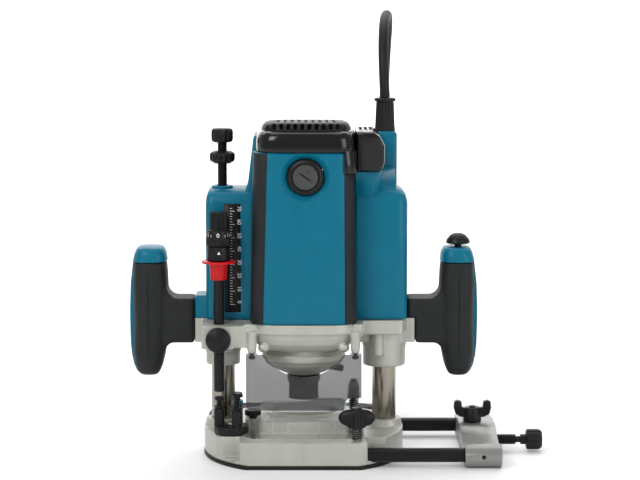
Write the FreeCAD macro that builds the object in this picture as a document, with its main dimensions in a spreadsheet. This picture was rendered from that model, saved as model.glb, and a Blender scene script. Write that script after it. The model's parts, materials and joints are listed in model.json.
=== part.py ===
import FreeCAD, Part
import math
import os

import Sketcher

# A plunge router: a motor unit that slides on two columns above a D-shaped base.
# Millimetres. The origin is on the spindle axis at the plane of the sole.
# +Z is up, +X is to the right of the side with the depth gauge, and that side faces -Y.

SIZES = {
    # sole and base casting
    "sole_radius": 85, "sole_flat": 70, "sole_thick": 3, "sole_hole_radius": 31,
    "flange_top": 6, "casting_top": 23.5, "front_block_half": 53, "front_block_top": 22.5,
    "well_half": 50, "well_front": 52, "well_back": 50, "boss_radius": 15, "boss_top": 30,
    "sole_screw_spread": 74, "sole_screw_back": 20, "sole_screw_radius": 2,
    # columns and guide bars
    "column_spread": 68.5, "column_radius": 10, "column_bore": 6.5, "column_foot": 6,
    "column_top": 176, "bar_radius": 6, "bar_gap": 0.05, "bar_spread": 59, "bar_height": 10.3,
    "bar_start": -48, "bar_end": 163, "fit_gap": 0.05, "thread_gap": 0.1,
    # guide holder
    "holder_left": 133.6, "holder_right": 164.4, "holder_boss": 9.8, "holder_rear_boss": 8.5,
    "holder_web_low": 3, "holder_web_top": 14, "holder_block_front": 2, "holder_block_back": 35,
    "holder_block_low": 2, "holder_block_top": 22, "wing_x": 145.5, "wing_y": 18,
    # clamps for the guide bars
    "clamp_x": 44, "clamp_stud_radius": 3, "clamp_hub_radius": 4.8, "clamp_spring_top": 33.5,
    "clamp_knob_low": 34, "clamp_knob_top": 49, "clamp_knob_half": 15.5, "clamp_knob_thick": 10,
    # stop turret and depth rod
    "turret_x": -60.7, "turret_y": -36, "turret_radius": 14.6, "turret_low": 24,
    "turret_top": 31, "post_circle": 10, "post_radius": 4.4, "post_top": 45,
    "stop_bolt_radius": 2.5, "stop_head_radius": 4.1, "stop_head_height": 3.2, "turret_bore": 2.65,
    "rod_x": -70.7, "rod_radius": 4.5, "rod_low": 59.6, "rod_top": 196,
    "pointer_low": 154, "pointer_flange_low": 168, "pointer_top": 169.8,
    "pointer_cup_radius": 7.1, "pointer_flange_radius": 14.1, "pointer_flat": 11,
    "collar_radius": 9.4, "collar_low": 170, "collar_top": 182.3,
    "dial_radius": 10.4, "dial_low": 182.5, "dial_top": 195.7, "dial_grip_radius": 7.3,
    "dial_grip_top": 211,
    # motor bracket
    "bracket_top": 118, "bracket_plate_low": 109, "bracket_half_depth": 50,
    "bracket_left": -92, "bracket_right": 94, "bowl_radius": 44.5,
    "left_bush_radius": 14.5, "right_bush_radius": 18, "bush_low": 77,
    "bush_bore_radius": 12.5, "clamp_block_left": -85, "clamp_block_right": -58,
    "clamp_block_front": -48, "clamp_block_low": 97, "clamp_block_top": 117,
    "rod_knob_z": 106, "rod_knob_radius": 10.5, "lock_face": 22.5, "lock_z": 100, "lock_tip_z": 62,
    # motor housing and towers
    "shell": 3, "housing_half": 43, "housing_depth": 52, "housing_top": 261,
    "seam": 0.2, "left_tower_left": -82, "left_tower_right": -43.4, "tower_depth": 24,
    "left_tower_top": 227, "right_tower_left": 43.4, "right_tower_right": 87,
    "right_tower_top": 229, "ramp_front": -19, "ramp_back": 24, "ramp_length": 33, "ramp_top": 242.8,
    "shelf_height": 16, "shelf_rise": 18, "scale_left": -66.3, "scale_right": -53, "scale_low": 125,
    "scale_top": 215.6, "strip_outer": 46, "strip_inner": 34.5, "strip_low": 119, "strip_top": 260,
    "cover_left": -40, "cover_right": 44, "cover_top": 284,
    "side_cover_right": 70, "side_cover_low": 243, "side_cover_top": 277,
    "entry_left": 58, "entry_right": 79.5, "entry_front": 22, "entry_back": 51, "entry_top": 272,
    # handles
    "grip_outer": 147, "grip_inner": 114, "grip_low": 67, "grip_top": 165, "grip_half": 19,
    "cap_top": 177, "neck_low": 95, "neck_top": 136, "neck_half": 15,
    "trigger_low": 118, "trigger_top": 162, "trigger_left": 122, "trigger_right": 138,
    "trigger_front": 9, "trigger_back": 22.5, "button_x": 130.5, "button_low": 151.4, "button_bore": 3.2,
    # spindle and motor
    "nut_radius": 14, "nut_low": 47.3, "nut_top": 69, "shank_radius": 6.35,
    "spindle_radius": 8, "spindle_top": 255, "brush_x": 1.4, "brush_z": 241, "cap_radius": 14.4,
    "fan_low": 123, "fan_radius": 33, "fan_thick": 2, "blade_top": 11, "blade_thick": 1.4,
    "bearing_radius": 17.5, "bearing_low": 79.2, "bearing_height": 14,
    "upper_bearing_radius": 11, "upper_bearing_low": 246.2, "upper_bearing_height": 8.6,
    "commutator_radius": 15, "commutator_low": 228, "commutator_height": 17.9,
    "core_radius": 22, "core_low": 145, "core_top": 205, "stator_radius": 37,
    # depth stop and shroud
    "height_rod_radius": 4, "height_rod_top": 275.6, "height_knob_low": 265.6,
    "nut_rest": 247.8, "nut_height": 10.2, "stop_nut_radius": 10.8,
    "shroud_half": 38, "shroud_front": -41, "shroud_back": 45, "shroud_top": 35, "ear_top": 33,
    "ear_radius": 6.3, "thumb_low": 8, "thumb_radius": 2, "thumb_head": 7,
    "latch_left": 23, "latch_right": 36, "latch_front": 53, "latch_back": 65, "latch_top": 32,
    "shroud_wall": 2, "shroud_hole": 30, "thumb_x": -43, "thumb_y": -18,
    "shield_half": 48, "shield_front": -51, "shield_thick": 2, "shield_low": 46,
    "shield_top": 100, "shield_scoop": 38, "shield_scoop_z": 112,
    "shield_screw_x": 43, "shield_screw_y": -46, "shaft_lock_z": 76.2,
    # cord
    "cord_radius": 4.25, "guard_x": 69.7, "guard_y": 40, "guard_top": 300,
    "coil_x": -1, "coil_y": 126.5, "coil_run": 48, "coil_outer": 37.75, "coil_inner": 20.7,
    "coil_height": 16, "plug_x": 4, "plug_y": 126, "plug_half": 11.5, "plug_long": 34, "plug_axis_z": 9,
}

STOP_HEIGHTS = (55.0, 59.3, 57.0)
VENT_COUNT = 12
VENT_PITCH = 5.8
VENT_START = -34
VENT_WIDTH = 2.8
FAN_BLADES = 14
SPRING_TURNS = 22
LOCK_ANGLE = -32

doc = FreeCAD.newDocument("PlungeRouter")
sheet = doc.addObject("Spreadsheet::Sheet", "Sizes")
for row, (alias, number) in enumerate(SIZES.items(), start=1):
    sheet.set(f"A{row}", alias)
    sheet.set(f"B{row}", str(number))
    sheet.setAlias(f"B{row}", alias)
doc.recompute()


class Size:
    """A number together with the expression over the sheet that gives it."""

    def __init__(self, value, text=None):
        self.value = value
        self.text = text if text is not None else str(value)

    def __add__(self, other):
        other = as_size(other)
        return Size(self.value + other.value, f"({self.text} + {other.text})")

    def __sub__(self, other):
        other = as_size(other)
        return Size(self.value - other.value, f"({self.text} - {other.text})")

    def __mul__(self, other):
        other = as_size(other)
        return Size(self.value * other.value, f"({self.text} * {other.text})")

    def __neg__(self):
        return Size(-self.value, f"(0 - {self.text})")

    def __radd__(self, other):
        return as_size(other) + self

    def __rsub__(self, other):
        return as_size(other) - self

    def __rmul__(self, other):
        return as_size(other) * self


def as_size(number):
    return number if isinstance(number, Size) else Size(number)


class Names:
    """Gives each alias of the sheet as a Size: size.sole_radius."""

    def __getattr__(self, alias):
        return Size(SIZES[alias], f"Sizes.{alias}")


size = Names()
nodes = {}
TURNS = {
    "z": FreeCAD.Rotation(),
    "x": FreeCAD.Rotation(FreeCAD.Vector(0, 1, 0), 90),
    "y": FreeCAD.Rotation(FreeCAD.Vector(1, 0, 0), -90),
}


def bind(thing, name, number):
    number = as_size(number)
    thing.setExpression(name, number.text)


def place(thing, at, axis="z"):
    thing.Placement = FreeCAD.Placement(FreeCAD.Vector(), TURNS[axis])
    for letter, number in zip("xyz", at):
        bind(thing, f"Placement.Base.{letter}", number)


def node(name, thing):
    """Registers a finished sub-part under the name that it is known by."""
    thing.Label = name
    nodes[name] = thing
    return thing


def cylinder(radius, length, at, axis="z"):
    made = doc.addObject("Part::Cylinder", "Cylinder")
    bind(made, "Radius", radius)
    bind(made, "Height", length)
    place(made, at, axis)
    return made


def cone(low_radius, top_radius, length, at, axis="z"):
    made = doc.addObject("Part::Cone", "Cone")
    bind(made, "Radius1", low_radius)
    bind(made, "Radius2", top_radius)
    bind(made, "Height", length)
    place(made, at, axis)
    return made


def box(low, high):
    made = doc.addObject("Part::Box", "Box")
    for name, start, end in zip(("Length", "Width", "Height"), low, high):
        bind(made, name, as_size(end) - start)
    place(made, low)
    return made


def fuse(*shapes):
    made = doc.addObject("Part::MultiFuse", "Fuse")
    made.Shapes = list(shapes)
    made.Refine = True
    return made


def group(*shapes):
    """Separate solids that are kept in one sub-part, such as a set of screws."""
    made = doc.addObject("Part::Compound", "Group")
    made.Links = list(shapes)
    return made


def cut(base, *tools):
    made = doc.addObject("Part::Cut", "Cut")
    made.Base = base
    made.Tool = tools[0] if len(tools) == 1 else fuse(*tools)
    return made


def common(*shapes):
    made = doc.addObject("Part::MultiCommon", "Common")
    made.Shapes = list(shapes)
    return made


def rounded(base, radius, chooser):
    """Rounds the edges of a solid for which chooser(edge) is true."""
    doc.recompute()
    made = doc.addObject("Part::Fillet", "Fillet")
    made.Base = base
    edges = enumerate(base.Shape.Edges, start=1)
    made.Edges = [(number, radius, radius) for number, edge in edges if chooser(edge)]
    return made


def along(axis):
    """A chooser of the straight edges that run along one axis."""
    direction = {"x": FreeCAD.Vector(1, 0, 0), "y": FreeCAD.Vector(0, 1, 0),
                 "z": FreeCAD.Vector(0, 0, 1)}[axis]

    def chooser(edge):
        if not isinstance(edge.Curve, Part.Line):
            return False
        return abs(edge.tangentAt(edge.FirstParameter).dot(direction)) > 0.99

    return chooser


def outline(body, plane_role, points, name="Outline"):
    """A closed sketch of straight sides whose corners are bound to the sheet."""
    sketch = body.newObject("Sketcher::SketchObject", name)
    planes = [item for item in body.Origin.OriginFeatures if item.Role == plane_role]
    sketch.AttachmentSupport = (planes[0], [""])
    sketch.MapMode = "FlatFace"
    points = [(as_size(across), as_size(up)) for across, up in points]
    corners = [FreeCAD.Vector(across.value, up.value, 0) for across, up in points]
    count = len(corners)
    for index in range(count):
        side = Part.LineSegment(corners[index], corners[(index + 1) % count])
        sketch.addGeometry(side, False)
    for index in range(count):
        joined = Sketcher.Constraint("Coincident", index, 2, (index + 1) % count, 1)
        sketch.addConstraint(joined)
    for index, (across, up) in enumerate(points):
        for kind, number in (("DistanceX", across), ("DistanceY", up)):
            rule = Sketcher.Constraint(kind, -1, 1, index, 1, number.value)
            place_of_rule = sketch.addConstraint(rule)
            sketch.setExpression(f"Constraints[{place_of_rule}]", number.text)
    return sketch


def turned(name, profile, at=(0, 0, 0), axis="z"):
    """A body turned about an axis from a profile of (radius, height) corners."""
    body = doc.addObject("PartDesign::Body", name + "_body")
    sketch = outline(body, "XZ_Plane", profile)
    spin = body.newObject("PartDesign::Revolution", "Spin")
    spin.Profile = sketch
    spin.ReferenceAxis = (sketch, ["V_Axis"])
    spin.Angle = 360
    place(body, at, axis)
    return body


def padded(name, plane_role, points, length, at=(0, 0, 0)):
    """A body padded from an outline on one of its origin planes."""
    body = doc.addObject("PartDesign::Body", name + "_body")
    sketch = outline(body, plane_role, points)
    pad = body.newObject("PartDesign::Pad", "Pad")
    pad.Profile = sketch
    bind(pad, "Length", length)
    place(body, at)
    return body


def pattern(body, feature, count):
    """Repeats a feature evenly about the body's Z axis."""
    made = body.newObject("PartDesign::PolarPattern", "Pattern")
    made.Originals = [feature]
    axes = [item for item in body.Origin.OriginFeatures if item.Role == "Z_Axis"]
    made.Axis = (axes[0], [""])
    made.Angle = 360
    made.Occurrences = count
    body.Tip = made
    return made


# ---------------------------------------------------------------- base

def four(across, back):
    """The four corners (+-across, +-back) of a rectangle about the origin."""
    return [(side * across, end * back) for side in (-1, 1) for end in (-1, 1)]


def d_plate(radius, low, top):
    """A disc about the spindle axis with its front cut off flat."""
    disc = cylinder(radius, top - low, (0, 0, low))
    window = box((-radius, -size.sole_flat, low), (radius, radius, top))
    return common(disc, window)


def make_sole():
    screws = four(size.sole_screw_spread, size.sole_screw_back)
    thick = size.sole_thick
    holes = [cylinder(size.sole_screw_radius + size.thread_gap, thick, (x, y, 0))
             for x, y in screws]
    sinks = [cone(4.4, size.sole_screw_radius + size.thread_gap, 2.4, (x, y, 0))
             for x, y in screws]
    centre = cylinder(size.sole_hole_radius, thick, (0, 0, 0))
    node("sub_base_plate", cut(d_plate(size.sole_radius, Size(0), thick), centre, *holes, *sinks))
    shanks = []
    for x, y in screws:
        head = cone(3.9, size.sole_screw_radius, 2, (x, y, 0.4))
        shank = cylinder(size.sole_screw_radius, 11, (x, y, 2.4))
        shanks.append(fuse(head, shank))
    node("sub_base_screws", group(*shanks))


def make_base_casting():
    low = size.sole_thick
    top = size.casting_top
    high = top + 20
    body = d_plate(size.sole_radius - 0.5, low, top)
    spread = size.column_spread
    bosses = [cylinder(size.boss_radius, size.boss_top - low, (x, 0, low)) for x in (-spread, spread)]
    well = box((-size.well_half, -size.well_front, low), (size.well_half, size.well_back, high))
    corner = size.front_block_half
    corners = [
        box((corner, -90, size.flange_top), (90, -50, high)),
        box((-90, -90, size.flange_top), (-corner, -50, high)),
    ]
    step = box((-corner, -90, size.front_block_top), (corner, -size.well_front, high))
    bores = [cylinder(size.bar_radius + size.bar_gap, 190, (-95, y, size.bar_height), "x")
             for y in (-size.bar_spread, size.bar_spread)]
    columns = [cylinder(size.column_radius + 0.02, 40, (x, 0, size.column_foot))
               for x in (-spread, spread)]
    studs = [cylinder(size.clamp_stud_radius + size.thread_gap, 20, (size.clamp_x, y, size.bar_height))
             for y in (-size.bar_spread, size.bar_spread)]
    screws = [cylinder(size.sole_screw_radius + size.fit_gap, 11, (x, y, low))
              for x, y in four(size.sole_screw_spread, size.sole_screw_back)]
    pivot = cylinder(2.6, 9, (size.turret_x, size.turret_y, 15))
    solid = fuse(body, *bosses)
    node("base_casting", cut(solid, well, *corners, step, *bores, *columns, *studs, *screws, pivot))


def make_columns():
    spread = size.column_spread
    height = size.column_top - size.column_foot
    for name, x in (("left_column", -spread), ("right_column", spread)):
        bar = cylinder(size.column_radius, height, (x, 0, size.column_foot))
        bore = cylinder(size.column_bore, height, (x, 0, size.column_foot + 14))
        pilot = cylinder(size.height_rod_radius + 0.1, 30, (x, 0, size.column_foot + 6))
        node(name, cut(bar, bore, pilot))


def make_return_spring():
    """The spring inside the right column that lifts the motor unit."""
    foot = size.column_foot.value + 15
    top = size.right_tower_top.value - 4
    wire = 0.8
    run = top - foot - 2 * wire
    helix = Part.makeHelix(run / SPRING_TURNS, run, 5.2)
    start = FreeCAD.Vector(5.2, 0, 0)
    section = Part.Wire(Part.makeCircle(wire, start, FreeCAD.Vector(0, 1, 0)))
    spring = doc.addObject("Part::Feature", "Spring")
    spring.Shape = Part.Wire(helix).makePipeShell([section], True, True)
    place(spring, (size.column_spread, 0, foot + wire))
    return node("return_spring", spring)


def make_shroud():
    """The clear dust shroud in the well of the base, with its thumb screw."""
    half = size.shroud_half
    front = size.shroud_front
    back = size.shroud_back
    low = size.sole_thick
    top = size.shroud_top
    wall = size.shroud_wall
    outer = rounded(box((-half, front, low), (half, back, top)), 8, along("z"))
    inner = box((-half + wall, front + wall, low), (half - wall, back - wall, top - wall))
    hole = cylinder(size.shroud_hole, 60, (0, 0, 0))
    ear_at = (size.thumb_x, size.thumb_y)
    ear = cylinder(size.ear_radius, size.ear_top - low, (*ear_at, low))
    ear_hole = cylinder(size.thumb_radius + size.thread_gap, 60, (*ear_at, low))
    node("dust_shroud", cut(fuse(cut(outer, inner), ear), hole, ear_hole))
    neck = size.ear_top + 0.3
    shank = size.thumb_radius
    head = size.thumb_head
    screw = [(0, size.thumb_low), (shank, size.thumb_low), (shank, neck), (shank + 2, neck), (shank + 2, neck + 2),
             (head, neck + 3), (head, neck + 6), (head - 2, neck + 7.2), (0, neck + 7.2)]
    node("shroud_screw", turned("thumb_screw", screw, (*ear_at, 0)))
    tab_low = (size.latch_left, size.latch_front, size.casting_top + 0.02)
    tab = box(tab_low, (size.latch_right, size.latch_back, size.latch_top))
    foot_low = (size.latch_left + 2, size.latch_front - 2, size.casting_top + 0.02)
    foot = box(foot_low, (size.latch_right - 2, size.latch_front, size.casting_top + 2.5))
    node("shroud_latch", fuse(tab, foot))


def make_bar_clamps():
    """The oval knobs that hold the guide bars, each on a stud with a small spring."""
    for name, y, long_axis in (("front", -size.bar_spread, "x"), ("rear", size.bar_spread, "y")):
        x = size.clamp_x
        low = size.clamp_knob_low
        top = size.clamp_knob_top
        stud = cylinder(size.clamp_stud_radius, low - 16.6 + 1, (x, y, 16.6))
        hub = cylinder(size.clamp_hub_radius, top - low - 3, (x, y, low))
        half = size.clamp_knob_half
        thick = size.clamp_knob_thick * 0.5
        across = (half, thick) if long_axis == "x" else (thick, half)
        wing = box((x - across[0], y - across[1], low + 3), (x + across[0], y + across[1], top))
        ends = rounded(wing, 4.8, along("z"))
        node(f"{name}_clamp_knob", fuse(stud, hub, ends))
    springs = []
    for y in (-size.bar_spread, size.bar_spread):
        low = size.casting_top if y.value > 0 else size.front_block_top
        sleeve = cylinder(4.3, size.clamp_spring_top - low, (size.clamp_x, y, low))
        springs.append(cut(sleeve, cylinder(3.3, 40, (size.clamp_x, y, 10))))
    node("clamp_springs", group(*springs))


def make_turret():
    """The three-station stop turret with its stop bolts and pivot screw."""
    low = size.turret_low
    top = size.turret_top
    body = doc.addObject("PartDesign::Body", "turret_body")
    bore = size.turret_bore
    profile = [(bore, 0), (size.turret_radius, 0), (size.turret_radius, top - low), (bore, top - low)]
    disc = body.newObject("PartDesign::Revolution", "Disc")
    disc.Profile = outline(body, "XZ_Plane", profile)
    disc.ReferenceAxis = (disc.Profile[0], ["V_Axis"])
    radius = size.post_radius
    circle = size.post_circle
    side = [(-circle - radius, 0), (-circle + radius, 0), (-circle + radius, size.post_top - low),
            (-circle - radius, size.post_top - low)]
    post = body.newObject("PartDesign::Pad", "Post")
    post.Profile = outline(body, "XZ_Plane", side, "PostOutline")
    bind(post, "Length", radius * 2)
    post.Midplane = True
    pattern(body, post, 3)
    place(body, (size.turret_x, size.turret_y, low))
    wells = []
    bolts = []
    for station, height in enumerate(STOP_HEIGHTS):
        angle = math.radians(180 + 120 * station)
        x = size.turret_x + size.post_circle * math.cos(angle)
        y = size.turret_y + size.post_circle * math.sin(angle)
        wells.append(cylinder(size.stop_bolt_radius + size.thread_gap, 30, (x, y, low + 4)))
        shank = cylinder(size.stop_bolt_radius, height - low - 6, (x, y, low + 5))
        head = cylinder(size.stop_head_radius, size.stop_head_height, (x, y, height - size.stop_head_height))
        lock_nut = cylinder(size.stop_head_radius + 0.1, 2.6, (x, y, size.post_top + 0.2))
        bolts.append(fuse(shank, head, lock_nut))
    node("stop_turret", cut(body, *wells))
    node("stop_bolts", group(*bolts))
    pivot = [(0, -8.5), (2.5, -8.5), (2.5, 7.2), (4.6, 7.2), (4.6, 9.6), (0, 9.6)]
    node("turret_screw", turned("pivot", pivot, (size.turret_x, size.turret_y, low)))


def make_height_stop():
    """The threaded rod that limits the upward travel, its knob and its nut."""
    x = -size.column_spread
    rod = cylinder(size.height_rod_radius, size.height_rod_top - 14, (x, 0, 14))
    node("height_rod", rod)
    knob = [(4.02, 0), (7.6, 0), (9.2, 1.4), (9.2, 9.6), (8, 11.2), (6, 11.8), (0, 11.8), (0, 10.1), (4.02, 10.1)]
    node("height_knob", turned("height_knob", knob, (x, 0, size.height_knob_low)))
    rest = size.nut_rest
    nut = cylinder(size.stop_nut_radius, size.nut_height, (x, 0, rest))
    node("height_nut", cut(nut, cylinder(size.height_rod_radius + 0.08, 30, (x, 0, rest - 5))))


# ---------------------------------------------------------------- edge guide set

def make_guide_set():
    length = size.bar_end - size.bar_start
    for name, y in (("front_guide_bar", -size.bar_spread), ("rear_guide_bar", size.bar_spread)):
        node(name, cylinder(size.bar_radius, length, (size.bar_start, y, size.bar_height), "x"))
    left = size.holder_left
    right = size.holder_right
    width = right - left
    spread = size.bar_spread
    axis_z = size.bar_height
    front = cylinder(size.holder_boss, width, (left, -spread, axis_z), "x")
    rear = cylinder(size.holder_rear_boss, width, (left, spread, axis_z), "x")
    web = box((left, -spread, size.holder_web_low), (right, spread, size.holder_web_top))
    block = box((left, size.holder_block_front, size.holder_block_low),
                (right, size.holder_block_back, size.holder_block_top))
    bores = [cylinder(size.bar_radius + 0.02, 60, (left - 10, y, axis_z), "x") for y in (-spread, spread)]
    screw_bore = cylinder(2.88, 60, (left + 14, 0, axis_z), "x")
    stud_bore = cylinder(3.08, 30, (size.wing_x, size.wing_y, 9))
    set_hole = cylinder(2, 12, (149, -spread - 12, axis_z), "y")
    node("guide_holder", cut(fuse(front, rear, web, block), *bores, screw_bore, stud_bore, set_hole))
    at = (size.wing_x, size.wing_y)
    low = size.holder_block_top + 0.3
    stud = cylinder(3, 14, (*at, 10))
    hub = cone(7.85, 6.6, 13, (*at, low))
    wing = box((at[0] - 16, at[1] - 2.6, low + 5), (at[0] + 16, at[1] + 2.6, low + 18))
    gap = box((at[0] - 6, at[1] - 4, low + 13), (at[0] + 6, at[1] + 4, low + 19))
    node("guide_wing_nut", fuse(stud, hub, cut(rounded(wing, 4.5, along("y")), gap)))
    screw = [(0, 149), (2.8, 149), (2.8, 165), (4.4, 165), (4.4, 181.4), (2.8, 181.4), (2.8, 185.4),
             (4.3, 185.4), (4.3, 190.3), (8.7, 190.3), (8.7, 201.5), (7, 204), (0, 204)]
    node("adjust_screw", turned("adjust_screw", screw, (0, 0, axis_z), "x"))


# ---------------------------------------------------------------- motor unit castings

def make_bracket():
    """The casting that carries the motor, with both bushing housings and the collar."""
    top = size.bracket_top
    plate_low = size.bracket_plate_low
    spread = size.column_spread
    half = size.bracket_half_depth
    plate = rounded(box((-46, -half, plate_low), (46, half, top)), 16, along("z"))
    arm = box((size.bracket_left, -13, size.neck_low), (size.bracket_right, 13, top))
    wings = box((-81, -22, plate_low), (86, 22, top))
    bowl_profile = [(0, 69), (14.3, 69), (27.5, 74.5), (33, 79), (35, 81.5), (35, 88), (34, 90), (36, 93.4),
                    (41, 100), (size.bowl_radius, 110), (size.bowl_radius, 117), (0, 117)]
    bowl = turned("bowl", bowl_profile)
    bushes = [
        cylinder(size.left_bush_radius, top - size.bush_low, (-spread, 0, size.bush_low)),
        cylinder(size.right_bush_radius, top - size.bush_low, (spread, 0, size.bush_low)),
    ]
    rib = cylinder(5.5, 27, (62.5, -17, 87))
    ear_places = [(x, size.shield_screw_y) for x in (-size.shield_screw_x, size.shield_screw_x)]
    ears = [cone(4, 5.5, 17, (x, y, 93)) for x, y in ear_places]
    lock_boss = cylinder(6, size.lock_face - 12, (-spread, 12, size.lock_z), "y")
    clamp_block = box((size.clamp_block_left, size.clamp_block_front, size.clamp_block_low),
                      (size.clamp_block_right, -13, size.clamp_block_top))
    solid = fuse(plate, arm, wings, bowl, *bushes, rib, *ears, lock_boss, clamp_block)
    bores = [cylinder(size.bush_bore_radius, 60, (x, 0, 70)) for x in (-spread, spread)]
    motor_well = cylinder(36, 30, (0, 0, 98))
    bearing_seat = cylinder(size.bearing_radius + size.fit_gap, 20, (0, 0, size.bearing_low - 0.2))
    neck = cylinder(10, 40, (0, 0, 60))
    rod_bore = cylinder(size.rod_radius + size.fit_gap, 40, (size.rod_x, size.turret_y, 90))
    stud_bore = cylinder(3.08, 14, (size.rod_x, -50, size.rod_knob_z), "y")
    ear_holes = [cylinder(1.6, 12, (x, y, 92)) for x, y in ear_places]
    lock_hole = cylinder(3.06, 30, (-spread, 14, size.lock_z), "y")
    tools = [*bores, motor_well, bearing_seat, neck, rod_bore, stud_bore, lock_hole, *ear_holes]
    slots = [box((x, -60, 90), (x + 22, -30, 93)) for x in (-28, 6)]
    node("motor_bracket", cut(solid, *tools, *slots, shaft_lock_bore()))


def shaft_lock_bore():
    """The hole through the bracket's nose for the shaft lock pin."""
    bore = doc.addObject("Part::Cylinder", "LockBore")
    bore.Radius = 2.6
    bore.Height = 30
    aim_lock(bore, 5)
    return bore


def aim_lock(thing, start):
    """Lays a piece made along +Z onto the shaft lock's line, its end towards the spindle."""
    angle = math.radians(LOCK_ANGLE)
    outward = FreeCAD.Vector(math.cos(angle), math.sin(angle), 0)
    turn = FreeCAD.Rotation(FreeCAD.Vector(0, 0, 1), outward)
    thing.Placement = FreeCAD.Placement(outward * start, turn)
    bind(thing, "Placement.Base.z", size.shaft_lock_z)


def make_shaft_lock():
    button = doc.addObject("Part::Cylinder", "Button")
    button.Radius = 3
    button.Height = 2.3
    aim_lock(button, 35.5)
    pin = doc.addObject("Part::Cylinder", "Pin")
    pin.Radius = 2.5
    pin.Height = 25
    aim_lock(pin, 11)
    node("shaft_lock_button", fuse(button, pin))


def make_bushes():
    spread = size.column_spread
    rings = []
    for x in (-spread, spread):
        for low, length in ((size.bush_low + 1, 22), (size.bracket_top + size.shelf_rise, size.shelf_height)):
            ring = cylinder(size.bush_bore_radius - 0.02, length, (x, 0, low))
            rings.append(cut(ring, cylinder(size.column_radius + size.fit_gap, 60, (x, 0, low - 5))))
    node("column_bushes", group(*rings))


def make_shield():
    """The smoke-grey chip shield that hangs from two ears of the bracket."""
    half = size.shield_half
    front = size.shield_front
    thick = size.shield_thick
    low = size.shield_low
    top = size.shield_top
    back = front + 7
    outer = rounded(box((-half, front, low), (half, back + 20, top)), 5, along("z"))
    inner = box((-half + thick, front + thick, low), (half - thick, 0, top))
    rear = box((-half, back, low), (half, 0, top))
    scoop = cylinder(size.shield_scoop, 40, (0, -70, size.shield_scoop_z), "y")
    notch = box((34, -70, 30), (60, 0, low + 11))
    wings = box((-60, -70, 93), (60, 0, 120))
    screw_y = size.shield_screw_y
    screw_places = [(-size.shield_screw_x, screw_y), (size.shield_screw_x, screw_y)]
    clips = [box((x - 4.5, front + 1, 91.4), (x + 4.5, -42, 92.9)) for x, y in screw_places]
    holes = [cylinder(1.7, 10, (x, y, 88)) for x, y in screw_places]
    sheet_part = cut(outer, inner, rear, scoop, notch, wings)
    node("chip_shield", cut(fuse(sheet_part, *clips), *holes))
    screws = [fuse(cylinder(2.8, 2.6, (x, y, 88.7)), cylinder(1.5, 9, (x, y, 91))) for x, y in screw_places]
    node("shield_screws", group(*screws))


def make_rod_clamp():
    x = size.rod_x
    z = size.rod_knob_z
    knob = cylinder(size.rod_knob_radius, 11, (x, -60, z), "y")
    stud = cylinder(3, 10, (x, -51, z), "y")
    node("rod_clamp_knob", fuse(knob, stud))


def make_plunge_lock():
    """The lever behind the left bushing housing that locks the plunge travel."""
    x = -size.column_spread
    face = size.lock_face + size.seam
    hub = cylinder(8, 9, (x, face, size.lock_z), "y")
    arm = box((x - 5, face + 2, size.lock_tip_z), (x + 5, face + 8, size.lock_z))
    tip = cylinder(5, 6, (x, face + 2, size.lock_tip_z), "y")
    pin = cylinder(3, 9, (x, face - 8, size.lock_z), "y")
    node("plunge_lock_lever", fuse(hub, arm, tip, pin))


# ---------------------------------------------------------------- motor unit shells

def shell_box(low, high, wall, corner, open_low=True, open_top=True):
    """A rounded upright box with walls, open below or above where asked."""
    outer = rounded(box(low, high), corner, along("z"))
    inner_low = (low[0] + wall, low[1] + wall, low[2] if open_low else low[2] + wall)
    inner_high = (high[0] - wall, high[1] - wall, high[2] if open_top else high[2] - wall)
    return cut(outer, box(inner_low, inner_high))


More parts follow.
